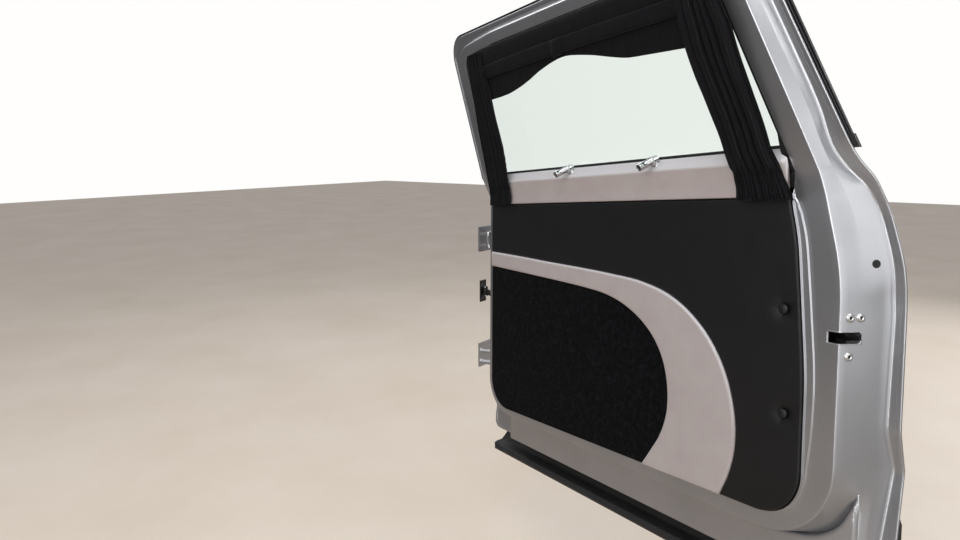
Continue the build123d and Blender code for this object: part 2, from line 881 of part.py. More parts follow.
def make_pin(w):
    span = knuckle_length + 2 * (ear_gap + ear_t) + 1
    pin = Pos(0, 0, w) * Cylinder(pin_r, span)
    for sign in (-1, 1):
        head = Cylinder(pin_head_r, pin_head_t)
        pin = pin + Pos(0, 0, w + sign * (span / 2 + pin_head_t / 2 - 0.4)) * head
    return hinge_plane.location * pin


def make_door_leaf(w):
    """Door-side leaf: a knuckle on the pin and a plate bolted to the front shut face."""
    centre = hinge_plane.from_local_coords(Vector(0, 0, w))
    face_y = centre.Y - 2
    plate_place = front_face_plane(face_y, centre.Z, leaf_t / 2 + 0.2)
    plate = plate_place.location * Box(door_leaf_height, door_leaf_width, leaf_t)
    knuckle = Pos(0, 0, w) * Cylinder(knuckle_r, knuckle_length)
    foot = plate_place.origin
    local = in_hinge(foot.X, foot.Y, centre.Z)
    reach = sqrt(local.X ** 2 + local.Y ** 2)
    angle = degrees(atan(local.Y / local.X)) + 180
    web = Pos(0, 0, w) * Rot(0, 0, angle) * (Pos(reach / 2, 0, 0) * Box(reach, 2 * knuckle_r - 6, knuckle_length))
    leaf = plate + hinge_plane.location * (knuckle + web)
    bore = hinge_plane.location * (Pos(0, 0, w) * Cylinder(pin_r + pin_gap, 2 * knuckle_length))
    return leaf - bore


def check_points():
    """Mouth and pivot of the check in the hinge frame: both the same distance from the axis."""
    z = check_mouth_z()
    mouth = in_hinge(draft_x(check_mouth_y, face_front_x, 1), check_mouth_y, z)
    reach = sqrt(mouth.X ** 2 + mouth.Y ** 2)
    angle = radians(check_bracket_angle)
    pivot = Vector(reach * cos(angle), reach * sin(angle), check_height)
    return mouth, pivot


def arm_location():
    mouth, pivot = check_points()
    heading = Vector(mouth.X - pivot.X, mouth.Y - pivot.Y, 0).normalized()
    plane = Plane(origin=pivot, x_dir=heading, z_dir=(0, 0, 1))
    return hinge_plane.location * plane.location


def make_check_arm():
    bar = Pos(check_arm_length / 2, 0, 0) * Box(check_arm_length, check_arm_t, check_arm_height)
    eye = Cylinder(check_pin_r + 3.5, check_arm_height)
    stop = Pos(check_arm_length - 3, 0, 0) * Box(6, check_stop_t, check_arm_height + 4)
    bore = Cylinder(check_pin_r + pin_gap, 2 * check_arm_height)
    return arm_location() * (bar + eye + stop - bore)


def make_check_bracket():
    """U-shaped bracket on the pillar that carries the check arm's pin."""
    mouth, pivot = check_points()
    wall_y = body_leaf_y
    ears = None
    for sign in (-1, 1):
        z = check_height + sign * (check_arm_height / 2 + bracket_gap + bracket_t / 2)
        bar = Pos(pivot.X, (pivot.Y + wall_y) / 2, z) * Box(16, abs(wall_y - pivot.Y) + 8, bracket_t)
        eye = Pos(pivot.X, pivot.Y, z) * Cylinder(8, bracket_t)
        ear = bar + eye
        ears = ear if ears is None else ears + ear
    centre = hinge_plane.from_local_coords(pivot)
    y_face = hinge_y + wall_y + 12
    low = (centre.X - 14, y_face - bracket_t, centre.Z - bracket_bolt_spacing / 2 - 12)
    high = (centre.X + 14, y_face, centre.Z + bracket_bolt_spacing / 2 + 12)
    plate = block(low, high)
    web = None
    for sign in (-1, 1):
        z = check_height + sign * (check_arm_height / 2 + bracket_gap + bracket_t / 2)
        part = Pos(pivot.X, wall_y + 5, z) * Box(16, 18, bracket_t)
        web = part if web is None else web + part
    limit = block((-far, -far, centre.Z - far), (far, y_face - 0.01, centre.Z + far))
    shape = (hinge_plane.location * (ears + web)) & limit
    bracket = shape + plate
    for dz in (-bracket_bolt_spacing / 2, bracket_bolt_spacing / 2):
        hole = Plane(origin=(centre.X, y_face, centre.Z + dz), z_dir=(0, 1, 0)).location
        bracket = bracket - hole * Cylinder(bracket_bolt_r, 6 * bracket_t)
    bore = hinge_plane.location * (Pos(pivot.X, pivot.Y, check_height) * Cylinder(check_pin_r + pin_gap, 80))
    return bracket - bore


def make_check_pin():
    mouth, pivot = check_points()
    span = check_arm_height + 2 * (bracket_gap + bracket_t) + 1
    pin = Cylinder(check_pin_r, span)
    for sign in (-1, 1):
        pin = pin + Pos(0, 0, sign * (span / 2 + 0.8)) * Cylinder(check_pin_r + 2.5, 2.4)
    return hinge_plane.location * (Pos(pivot.X, pivot.Y, check_height) * pin)


def make_check_plate():
    place = front_face_plane(check_mouth_y, check_mouth_z(), check_plate_t / 2 + 0.1)
    return place.location * Box(58, 34, check_plate_t) - check_mouth()


door = {
    "inner_panel": make_inner_panel(),
    "outer_skin": make_outer_skin(),
    "frame_outer": make_frame_outer(),
    "window_glass": make_glass(),
    "glass_run_seal": make_glass_seal(),
    "surround_moulding": make_surround(),
    "moulding_end_caps": make_end_caps(),
    "belt_moulding": make_belt_moulding(),
    "belt_seal": make_belt_seal(),
    "trim_panel": make_trim_panel(),
    "crescent_trim": make_crescent(),
    "carpet_insert": make_carpet(),
    "belt_ledge": make_ledge(),
    "front_curtain": curtain(curtain_front_x, curtain_front_x),
    "rear_curtain": curtain(rear_curtain_top_x, rear_curtain_low_x),
    "curtain_header": make_header(),
    "curtain_valance": make_valance(),
    "valance_strap": make_strap(),
    "latch_body": make_latch_body(),
    "latch_fork": make_latch_fork(),
    "latch_screws": make_screws(),
    "edge_plug": make_plug(),
    "sill_cladding": make_cladding(),
    "handle_base": make_handle_base(),
    "handle_grip": make_handle_grip(),
    "check_plate": make_check_plate(),
}
for name, (x, z) in zip(button_names, button_places):
    door["trim_button_" + name] = make_button(x, z)
for name, x in zip(socket_names, socket_x):
    door["ledge_socket_" + name] = make_socket(x)

pillar = {"check_bracket": make_check_bracket(), "check_pin": make_check_pin()}
for name, w in leaf_heights.items():
    door[name + "_hinge_door_leaf"] = make_door_leaf(w)
    pillar[name + "_hinge_body_leaf"] = make_body_leaf(w)
    pillar[name + "_hinge_pin"] = make_pin(w)

# Stored pose: swung open on its check. The arm turns half as far as the door.
hinge_axis = Axis(hinge_plane.origin, hinge_plane.z_dir)
arm_origin = hinge_plane.from_local_coords(check_points()[1])
arm_axis = Axis(arm_origin, hinge_plane.z_dir)
mount_centre = hinge_plane.from_local_coords(Vector(0, 0, leaf_heights["upper"]))
origin = Vector(hinge_x + body_bolt_x, hinge_y + body_leaf_y, mount_centre.Z)

nodes = dict(pillar)
nodes["check_arm"] = make_check_arm().rotate(arm_axis, open_angle / 2)
for name, shape in door.items():
    nodes[name] = shape.rotate(hinge_axis, open_angle)

os.makedirs("parts", exist_ok=True)
for name, shape in nodes.items():
    moved = Location(-origin) * shape
    solids = moved.solids()
    moved = solids[0] if len(solids) == 1 else Compound(solids)
    export_step(moved, "parts/" + name + ".step")
    print(name, len(solids), round(sum(s.volume for s in solids)))

print("origin", origin)
print("hinge axis point", hinge_plane.origin - origin, "direction", hinge_plane.z_dir)
print("arm axis point", arm_origin - origin)
for w in leaf_heights.values():
    c = hinge_plane.from_local_coords(Vector(0, 0, w))
    print("leaf mount", Vector(hinge_x + body_bolt_x, hinge_y + body_leaf_y, c.Z) - origin)
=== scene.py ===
import bpy
import bmesh
import json
import numpy as np
from math import atan, cos, exp, hypot, pi, radians, sin, sqrt, tan
from mathutils import Matrix, Vector, geometry, noise


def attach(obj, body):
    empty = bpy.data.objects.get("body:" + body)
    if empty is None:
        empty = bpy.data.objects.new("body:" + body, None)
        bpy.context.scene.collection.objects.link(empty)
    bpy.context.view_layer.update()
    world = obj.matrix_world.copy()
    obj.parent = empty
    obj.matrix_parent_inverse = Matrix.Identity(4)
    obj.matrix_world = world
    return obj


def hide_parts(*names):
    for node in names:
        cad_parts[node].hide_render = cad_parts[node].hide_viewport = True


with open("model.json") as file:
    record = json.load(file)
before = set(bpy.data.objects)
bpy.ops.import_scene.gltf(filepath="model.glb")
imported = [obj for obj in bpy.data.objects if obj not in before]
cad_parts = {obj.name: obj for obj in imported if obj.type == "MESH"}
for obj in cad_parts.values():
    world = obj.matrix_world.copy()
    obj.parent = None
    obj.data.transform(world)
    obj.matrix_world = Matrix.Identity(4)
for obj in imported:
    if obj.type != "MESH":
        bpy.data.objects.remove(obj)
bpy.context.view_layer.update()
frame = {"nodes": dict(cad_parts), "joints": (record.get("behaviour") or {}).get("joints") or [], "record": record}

# Inner panel: one deep-drawn steel pressing, painted silver. It carries the trim and the window
# channel, its shut faces close against the seals, and its flange is clamped in the skin's hem.
# The door is drawn shut, in millimetres: X forward, Y inboard and Z up, with zero at the trim's
# lower front corner on the trim plane. The frame's own joint then swings it open.
MM = 0.001
TRIM_ORIGIN = Vector((126.0, -4.0, 409.157))    # the frame's origin, seen from that zero
swing = next(joint for joint in frame["joints"] if joint["name"] == "door_swing")
hinge_at = Vector(swing["pos_m"])
swung = Matrix.Rotation(radians(-swing["range_deg"][0]), 4, Vector(swing["axis"]))
from_drawing = Matrix.Scale(MM, 4) @ Matrix.Translation(-TRIM_ORIGIN)
OPEN_DOOR = (Matrix.Translation(hinge_at) @ swung @ Matrix.Translation(-hinge_at)) @ from_drawing

METAL = 4.0                # depth of the pressing's inner face behind the trim plane
BELT = 533.0               # where the window frame starts to lean inboard
LEAN = atan(0.235)
BEND = 26.0                # half the length of the bend at the belt
DRAFT = tan(radians(22.0))
CORE = Vector((-480.0, -60.0, 400.0))           # inside the door: outer faces look away from it
REAR_SIDE = -900.0         # rear of this X, the lines belong to the door's rear side


def bend(s):
    """Y, Z and lean of the inner face at the length s up it."""
    if s <= BELT - BEND:
        return 0.0, s, 0.0
    angle = LEAN * min(1.0, (s - BELT + BEND) / (2 * BEND))
    y = 2 * BEND * (1 - cos(angle)) / LEAN
    z = BELT - BEND + 2 * BEND * sin(angle) / LEAN
    over = max(0.0, s - BELT - BEND)
    return y + over * sin(LEAN), z + over * cos(LEAN), angle


def face(x, s, depth=0.0):
    """Point at x and s on the inner face, moved outboard by depth."""
    y, z, angle = bend(s)
    return Vector((x, y - depth * cos(angle), z + depth * sin(angle)))


def up_face(z, y=0.0):
    """Length s up the inner face of the point at height z that is y from its plane."""
    return z if z <= BELT else BELT + (z - BELT + y * sin(LEAN)) / cos(LEAN)


def smooth_step(t):
    t = min(1.0, max(0.0, t))
    return t * t * (3 - 2 * t)


def between(table, z):
    """Value at height z from (z, value) rows, with a smooth passage between them."""
    table = sorted(table)
    if z <= table[0][0]:
        return table[0][1]
    for (z0, v0), (z1, v1) in zip(table, table[1:]):
        if z <= z1:
            t = (z - z0) / (z1 - z0)
            return v0 + (v1 - v0) * (t + 0.35 * (smooth_step(t) - t))
    return table[-1][1]


def rounded(points, radii, steps=6, run=1, closed=True):
    """Line through corners with round arcs: steps pieces to an arc and run to a straight."""
    points = [Vector(p) for p in points]
    count = len(points)
    ends = []
    for i, (p, r) in enumerate(zip(points, radii)):
        if r == 0 or (not closed and i in (0, count - 1)):
            ends.append((p, p, p, 1.0))
            continue
        a = points[i - 1] - p
        b = points[(i + 1) % count] - p
        half = (pi - a.angle(b, pi)) / 2 if a.length and b.length else 0.0
        cut = min(r * tan(half), 0.49 * a.length, 0.49 * b.length) if half > 1e-4 else 0.0
        ends.append((p + a.normalized() * cut, p, p + b.normalized() * cut, cos(half)))
    line = []
    for i, (start, p, end, w) in enumerate(ends):
        if radii[i] == 0 or (not closed and i in (0, count - 1)):
            line.append(p)
        else:
            for k in range(steps + 1):
                t = k / steps
                weights = (1 - t) ** 2, 2 * w * t * (1 - t), t * t
                line.append((start * weights[0] + p * weights[1] + end * weights[2]) / sum(weights))
        if closed or i < count - 1:
            after = ends[(i + 1) % count][0]
            here = line[-1]
            amount = run[i % len(run)] if isinstance(run, (list, tuple)) else run
            line.extend(here.lerp(after, k / amount) for k in range(1, amount))
    return line


def round_line(corners, steps, run, closed=True):
    """Rounded line from rows of (across, up, radius)."""
    return rounded([c[:2] for c in corners], [c[2] for c in corners], steps, run, closed)


def hermite(a, b, out_a, in_b, t):
    """Cubic from a to b with its slopes at both ends."""
    return (a * (2 * t ** 3 - 3 * t * t + 1) + out_a * (t ** 3 - 2 * t * t + t)
            + b * (3 * t * t - 2 * t ** 3) + in_b * (t ** 3 - t * t))


def smooth_curve(points, pieces):
    """Catmull-Rom line through 2-D points, pieces to a span."""
    points = [Vector(p) for p in points]
    line = []
    for i in range(len(points) - 1):
        a, b = points[i], points[i + 1]
        before, after = points[max(i - 1, 0)], points[min(i + 2, len(points) - 1)]
        size = (b - a).length
        out_a = (b - before) * (size / max((b - a).length + (a - before).length, 1e-6))
        in_b = (after - a) * (size / max((after - b).length + size, 1e-6))
        line += [hermite(a, b, out_a, in_b, k / pieces) for k in range(pieces)]
    return line + [points[-1]]


def outward(line):
    """Unit vectors in the plane that point out of a closed line of (x, s) points."""
    normals = []
    count = len(line)
    for i in range(count):
        reach = 1
        while (line[(i + reach) % count] - line[i - reach]).length < 1e-3:
            reach += 1
        along = line[(i + reach) % count] - line[i - reach]
        normals.append(Vector((-along.y, along.x)).normalized())
    return normals


def crossings(line, s):
    """X of each place where a closed line crosses the height s, from the rear forward."""
    return sorted(a.x + (b.x - a.x) * (s - a.y) / (b.y - a.y)
                  for a, b in zip(line, line[1:] + line[:1]) if (a.y > s) != (b.y > s))


def ray_hit(start, way, line, closed=True):
    """Where a ray first meets a line, or None."""
    best = None
    for a, b in zip(line, line[1:] + (line[:1] if closed else [])):
        side = b - a
        cross = way.x * side.y - way.y * side.x
        if abs(cross) < 1e-9:
            continue
        gap = a - start
        t = (gap.x * side.y - gap.y * side.x) / cross
        u = (gap.x * way.y - gap.y * way.x) / cross
        if t > 0 and -1e-6 <= u <= 1 + 1e-6 and (best is None or t < best):
            best = t
    return None if best is None else start + way * best


def door_piece(name, mesh):
    """Object on the door's body from a mesh that is already in place."""
    obj = bpy.data.objects.new(name, mesh)
    bpy.context.scene.collection.objects.link(obj)
    mesh.shade_smooth()
    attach(obj, "door")
    return obj


def face_away(mesh):
    """Turn a whole shell so that it looks away from the door's core."""
    centre = OPEN_DOOR @ CORE
    if sum(f.normal.dot(f.center - centre) * f.area for f in mesh.polygons) < 0:
        mesh.flip_normals()


def from_faces(name, verts, faces, away=True):
    mesh = bpy.data.meshes.new(name)
    mesh.from_pydata([OPEN_DOOR @ Vector(v) for v in verts], [], faces)
    mesh.validate()
    if away:
        face_away(mesh)
    return door_piece(name, mesh)


def loft(name, rows, away=True, ring=True, skip=None):
    """Surface across rows of points, which match point for point. ring closes each row on
    itself; skip(row, place) leaves a face out."""
    count = len(rows[0])
    faces = []
    for r in range(len(rows) - 1):
        for i in range(count if ring else count - 1):
            if skip and skip(r, i):
                continue
            j = (i + 1) % count
            faces.append((r * count + i, r * count + j, (r + 1) * count + j, (r + 1) * count + i))
    return from_faces(name, [p for row in rows for p in row], faces, away)


def weld(obj, distance=0.12 * MM):
    bm = bmesh.new()
    bm.from_mesh(obj.data)
    bmesh.ops.remove_doubles(bm, verts=bm.verts, dist=distance)
    bmesh.ops.dissolve_degenerate(bm, edges=bm.edges, dist=distance)
    bm.to_mesh(obj.data)
    bm.free()
    return obj


# The outer skin's inner surface as (Y, Z, radius), from the sill to the roof
SKIN_SECTION = (
    (-72.0, -170.0, 0.0), (-88.0, -45.0, 120.0), (-104.0, 68.0, 26.0), (-89.0, 134.0, 44.0),
    (-93.0, 340.0, 380.0), (-76.0, 488.0, 160.0), (-26.1, 592.0, 90.0), (72.1, 1010.0, 0.0),
)
section_line = round_line(SKIN_SECTION, 12, 3, False)


def skin_y(z):
    """Y of the skin's inner surface at height z."""
    for a, b in zip(section_line, section_line[1:]):
        if z <= b.y and b.y > a.y:
            t = max(0.0, (z - a.y) / (b.y - a.y))
            return a.x + (b.x - a.x) * t
    return section_line[-1].x


def skin_point(x, z, inboard=0.0):
    """Point on the skin's inner surface, moved square to it."""
    slope = (skin_y(z + 1.0) - skin_y(z - 1.0)) / 2.0
    size = hypot(1.0, slope)
    return Vector((x, skin_y(z) + inboard / size, z - inboard * slope / size))


# Lines of the pressing. All have the same corners, in this order: lower front, lower rear, rear
# knee, top of the trim at the rear, belt at the rear, upper rear, roof knee, upper front, belt
# at the front, top of the trim at the front. Each corner is (x, s or z, radius).
WINDOW_FOOT = 553.0
WINDOW_TOP = 930.5
FACE_TOP = up_face(948.0, -METAL)
FACE_REAR = -1031.0
ROOF_KNEE = -120.0
FACE_LINE = (
    (22.0, -76.0, 95.0), (FACE_REAR, -76.0, 148.0), (FACE_REAR, 388.0, 420.0), (-999.5, 512.0, 90.0),
    (-987.8, 553.0, 60.0), (-848.6, FACE_TOP, 92.0), (ROOF_KNEE, FACE_TOP, 400.0),
    (60.0, up_face(936.0, -METAL), 56.0), (22.0, 533.0, 300.0), (22.0, 515.0, 0.5),
)
INNER_LINE = (
    (1.0, -61.0, 79.0), (-979.0, -40.2, 89.5), (-977.0, 380.0, 0.5), (-940.0, 515.0, 12.0),
    (-945.0, WINDOW_FOOT, 12.0), (-815.8, WINDOW_TOP, 50.0), (ROOF_KNEE, WINDOW_TOP, 300.0),
    (10.0, 915.1, 38.0), (10.0, WINDOW_FOOT, 12.0), (1.0, 515.0, 12.0),
)
EDGE_LINE = (
    (100.0, -162.0, 26.0), (-1092.0, -162.0, 24.0), (-1084.5, 400.0, 300.0), (-1051.0, 540.0, 70.0),
    (-1031.0, 572.0, 50.0), (-874.5, 984.0, 96.0), (ROOF_KNEE, 984.0, 0.5), (140.0, 984.0, 58.0),
    (100.0, 533.0, 300.0), (100.0, 500.0, 0.5),
)
TRIM_LINE = (
    (0.0, 511.0, 4.0), (0.0, -60.0, 78.0), (-976.5, -39.0, 88.0), (-975.8, 215.0, 900.0),
    (-955.0, 442.0, 400.0), (-938.5, 511.0, 6.0),
)
RUNS = [26, 34, 14, 9, 26, 16, 6, 14, 3, 18]
face_line, inner_line, full_edge = (round_line(corners, 24, RUNS)
                                    for corners in (FACE_LINE, INNER_LINE, EDGE_LINE))
trim_line = round_line(TRIM_LINE, 14, (64, 100, 30, 26, 10, 96))
face_out = outward(face_line)

# The hem's stations lie straight out from those of the face
edge_line = [ray_hit(p, n, full_edge) for p, n in zip(face_line, face_out)]
edge_out = outward(edge_line)

# Two rows of the pressing lie along the latch slot's edges
SLOT_Z = (277.0, 295.5)
SLOT_X = -1010.0
SLOT_DEPTH = 40.0
rear_run = [i for i, p in enumerate(face_line) if abs(p.x - FACE_REAR) < 0.5]
slot_rows = []
for z in SLOT_Z:
    i = min(rear_run, key=lambda k: abs(face_line[k].y - z))
    face_line[i] = Vector((face_line[i].x, z))
    slot_rows.append(i)


def on_skin_below(x, s, out):
    """Where the drafted wall from the face's edge meets the skin."""
    depth = 50.0
    for _ in range(24):
        p = face(x + out.x * DRAFT * depth, s + out.y * DRAFT * depth, METAL + depth)
        depth += p.y - skin_y(p.z)
    return p


# Along the trim's rear side the pressing's bed follows it, level with the face's own edge
TRIM_GAP = 2.0
LOW_TURN = 72.0            # the top of the face's lower rear arc
HIGH_TURN = 690.0
TRIM_END = 509.0           # the bed leaves the trim's line here
opening_line = inner_line[:]
for i, p in enumerate(face_line):
    if p.x < REAR_SIDE and LOW_TURN + 0.5 < p.y < HIGH_TURN:
        s = p.y - 22.7 * (1.0 - smooth_step((p.y - LOW_TURN) / 150.0))
        s += (opening_line[i].y - s) * smooth_step((p.y - 575.0) / 110.0)
        x = crossings(opening_line, s)[0]
        if s < TRIM_END:
            x += (crossings(trim_line, s)[0] - TRIM_GAP - x) * smooth_step((TRIM_END - s) / 20.0)
        inner_line[i] = Vector((x, s))
inner_out = outward(inner_line)

# At the lower rear corner the rear shut face runs straight on down, and the step's face ends in
# a horn there. A scoop lies between the horn's rim and the corner of the inner face.
STEP_DEPTH = 26.0
HORN_X = -1046.8
HORN_DEPTH = 43.0
HORN_TIP = 34.0
HORN_FROM = 880.0          # forward of this the step's face is flat
HORN_RIM = (
    (-1048.6, HORN_TIP), (-1046.4, 24.0), (-1040.0, 5.0), (-1033.0, -11.0), (-1024.6, -27.0),
    (-1012.5, -41.8), (-1000.0, -52.0), (-985.0, -60.8), (-968.0, -66.4), (-937.0, -72.0), (-905.0, -76.0),
    (-860.0, -79.0),
)
horn_rim = smooth_curve(HORN_RIM, 7)


def upright(x, z, depth=0.0):
    return Vector((x, -depth, z))


def step_depth(x, z):
    """The step's face turns outboard towards its rear end."""
    t = max(0.0, (-x - HORN_FROM) / (-HORN_X - HORN_FROM))
    return STEP_DEPTH + (HORN_DEPTH - STEP_DEPTH) * t * t


def rear_wall(depth, z):
    """Point on the plane of the rear shut face."""
    return Vector((FACE_REAR - DRAFT * (depth - METAL), -depth, z))


def corner_wall(a2, n, foot):
    """Lower rear corner: the scoop's far edge, where the shut face goes on, and its foot."""
    def out_at(x):
        return max(a2.y + n.y * (x - a2.x) / min(n.x, -0.05), -150.0)

    rim = ray_hit(a2, n, horn_rim, False)
    if rim is None:
        deep = rear_wall(HORN_DEPTH, out_at(HORN_X))
        wall = rear_wall(HORN_DEPTH + 6.0, out_at(HORN_X))
    else:
        fall = smooth_step((HORN_TIP - rim.y) / 45.0)
        deep = upright(rim.x, rim.y, step_depth(rim.x, rim.y) + 15.0 * fall)
        wall = rear_wall(HORN_DEPTH + 6.0, out_at(HORN_X - 2.4))
    share = smooth_step((-n.x - 0.35) / 0.3)
    low = out_at(-1066.0)
    foot = foot.lerp(rear_wall(-skin_y(low), low), share)
    return deep, deep.lerp(foot, 0.4).lerp(wall, share), foot


# Beside the trim's rear side a lip stands up, and a shelf runs from it down to the inner face.
# The shelf and the flange at the skin have their widths by height.
SHELF_W = (
    (-10.0, 0.0), (10.0, 0.8), (40.0, 3.6), (73.0, 7.0), (105.0, 10.2), (141.0, 12.4), (190.0, 13.5),
    (243.0, 13.8), (342.0, 13.2), (442.0, 11.4), (480.0, 9.6), (500.0, 6.0), (516.0, 1.0), (530.0, 0.0),
)
FLANGE_W = [tuple(p) for p in smooth_curve((
    (350.0, 20.0), (410.0, 18.0), (470.0, 16.8), (515.0, 17.3), (545.0, 21.5), (572.0, 26.5),
    (598.0, 30.0), (625.0, 28.0), (655.0, 22.5), (700.0, 20.5)), 6)]
LIP_W = 2.2
LIP_RISE = 6.5             # of the lip right beside the trim, over the inner face
SHELF_RISE = 0.38          # of the shelf, as a share of the lip's
SLOT_BACK = 21.0           # how far the latch slot reaches back over the inner face
BULGE = 3.4                # of the crease along the shut face beside the window
EDGE_R = 4.2
FOOT_R = 6.0
CHANNEL = 27.0             # depth of the window channel's wall
BED = 9.0                  # depth of the trim's bed


def panel_section(i):
    """One section of the pressing, from the trim bed or window channel out to the hem."""
    a2, inner, n, m = face_line[i], inner_line[i], face_out[i], inner_out[i]
    h, h_out = edge_line[i], edge_out[i]
    at_rear = a2.x < REAR_SIDE
    width = (a2 - inner).length
    shelf = between(SHELF_W, inner.y) if at_rear and m.x < -0.2 else 0.0
    along = m.lerp((a2 - inner).normalized(), 1.0 - min(1.0, shelf / 6.0)).normalized()
    lift = 0.0
    if at_rear:
        lift = LIP_RISE * smooth_step((-m.x - 0.3) / 0.65) * smooth_step((530.0 - inner.y) / 28.0)
    if inner.y > WINDOW_FOOT - 1.0:
        start = face(inner.x, inner.y, METAL + CHANNEL)
    else:
        start = face(inner.x - m.x * 1.2, inner.y - m.y * 1.2, METAL + BED)
    lip = min(LIP_W, 0.2 * width)
    shelf = min(max(shelf, lip), 0.3 * width)
    steps = (0.0, 0.25 * lip, 0.7 * lip, shelf, min(shelf + 1.7, 0.37 * width), min(shelf + 8.0, 0.45 * width))
    flat = [inner + along * d for d in steps]
    flat.append(a2 - n * min(SLOT_BACK, 0.5 * width))
    top, mid = METAL - lift, METAL - SHELF_RISE * lift
    depths = (top, top, mid, mid, METAL - 0.08 * lift, METAL, METAL)
    middle = [face(p.x, p.y, d) for p, d in zip(flat, depths)]

    edge = face(a2.x, a2.y, METAL)
    foot = plain_foot = on_skin_below(a2.x, a2.y, n)
    if a2.x < -700.0:
        flange = between(FLANGE_W, h.y)
        rear_foot = skin_point(h.x - h_out.x * flange, h.y - h_out.y * flange)
        foot = foot.lerp(rear_foot, smooth_step((h.y - 300.0) / 70.0) * smooth_step((-n.x - 0.15) / 0.5))
    reach = SLOT_DEPTH
    if n.x < -0.9:
        reach += (HORN_DEPTH - SLOT_DEPTH) * smooth_step((230.0 - a2.y) / 120.0)
    toward = plain_foot.lerp(foot, 0.45)
    deep = edge.lerp(toward, (reach - METAL) / max(-METAL - toward.y, 2.0 * (reach - METAL)))
    beside_window = smooth_step((h.y - 560.0) / 50.0) * smooth_step((-n.x - 0.3) / 0.3)
    deep = deep.lerp(edge.lerp(foot, 0.5) + Vector((n.x, 0.0, n.y)) * BULGE, beside_window)
    wall = deep.lerp(foot, 0.3)
    if n.x < -0.02 and n.y < -0.02 and a2.y < LOW_TURN:
        deep, wall, foot = corner_wall(a2, n, foot)
    hem = skin_point(h.x, h.y, 0.3)
    under = hem + (foot - hem).normalized() * min(9.0, (foot - hem).length * 0.5)
    return rounded((start, *middle, edge, edge.lerp(deep, 0.55), deep, wall, foot, under),
                   (0, 0.6, 0.6, 0.8, 1.2, 1.6, 4.0, 0, EDGE_R, 12.0, 2.0, 0, FOOT_R, 0), 5,
                   (1, 1, 1, 1, 1, 1, 1, 2, 2, 2, 1, 2, 2), False)


sections = [panel_section(i) for i in range(len(face_line))]
slot_row = sections[slot_rows[1]]
slot_from, slot_to = (min(range(len(slot_row)), key=lambda k: (slot_row[k] - end).length)
                      for end in (face(SLOT_X, SLOT_Z[1], METAL), rear_wall(SLOT_DEPTH, SLOT_Z[1])))


def in_slot(row, place):
    return slot_from <= row < slot_to and slot_rows[0] <= place < slot_rows[1]


pressing = weld(loft("pressed_panel", list(zip(*sections)), skip=in_slot))
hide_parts("inner_panel")

# Lip round the latch slot: the pressing's own metal, rolled inwards. It turns the crease from
# the inner face to the shut face.
slot_walk = slot_row[slot_from:slot_to + 1]
slot_steps = [0.0]
for a, b in zip(slot_walk, slot_walk[1:]):
    slot_steps.append(slot_steps[-1] + (b - a).length)


def on_slot(u, z, rise):
    """Point u along the slot at height z, raised from the panel."""
    k = 0
    while k < len(slot_steps) - 2 and (slot_steps[k + 1] <= u or slot_steps[k + 1] - slot_steps[k] < 0.01):
        k += 1
    a, b = slot_walk[k], slot_walk[k + 1]
    way = (b - a).normalized()
    here = a + way * (u - slot_steps[k]) + Vector((way.y, -way.x, 0.0)) * rise
    return Vector((here.x, here.y, z))


def slot_ring(out, left, right, rise):
    far_end = slot_steps[-1] + out
    low, high = SLOT_Z[0] - out, SLOT_Z[1] + out
    corners = ((-out, low, left), (far_end, low, right), (far_end, high, right), (-out, high, left))
    return [on_slot(q.x, q.y, rise) for q in round_line(corners, 8, (40, 4, 40, 4))]


SLOT_RINGS = ((1.9, 2.0, 2.0, -0.3), (1.5, 2.0, 3.0, 0.35), (0.5, 2.0, 7.6, 0.55), (-0.2, 1.8, 7.4, 0.1),
              (-0.5, 1.8, 7.0, -4.0))
slot_lip = loft("slot_lip", [slot_ring(*ring) for ring in SLOT_RINGS])


# Step under the trim: part of the same pressing, with a rounded edge and the horn that runs up
# its rear end.
def inside(point, line):
    """True where a 2-D point lies inside a closed line."""
    odd = False
    for a, b in zip(line, line[1:] + line[:1]):
        if (a.y > point.y) != (b.y > point.y) and point.x < (b.x - a.x) * (point.y - a.y) / (b.y - a.y) + a.x:
            odd = not odd
    return odd


def thin_out(line, least=0.3):
    """The line without points that lie on their neighbours."""
    kept = []
    for p in line:
        if not kept or (p - kept[-1]).length > least:
            kept.append(p)
    while (kept[0] - kept[-1]).length < least:
        kept.pop()
    return kept


def edge_distance(points, line):
    """Distance of each 2-D point from a closed line."""
    p = np.array([(q.x, q.y) for q in points])
    best = np.full(len(p), 1e9)
    for a, b in zip(line, line[1:] + line[:1]):
        a, b = np.array((a.x, a.y)), np.array((b.x, b.y))
        d = b - a
        t = np.clip(((p - a) @ d) / max(d @ d, 1e-9), 0, 1)
        best = np.minimum(best, np.hypot(*(p - a - t[:, None] * d).T))
    return best


def set_faces(obj, cap=False):
    """Turn the faces one way. With cap, the open ends are closed first."""
    bm = bmesh.new()
    bm.from_mesh(obj.data)
    if cap:
        bmesh.ops.contextual_create(bm, geom=[e for e in bm.edges if e.is_boundary])
    bmesh.ops.recalc_face_normals(bm, faces=bm.faces)
    bm.to_mesh(obj.data)
    bm.free()
    obj.data.shade_smooth()


EDGE_STEPS = (0.12, 0.35, 0.65, 1.0, 1.6)
GRID = 14.0


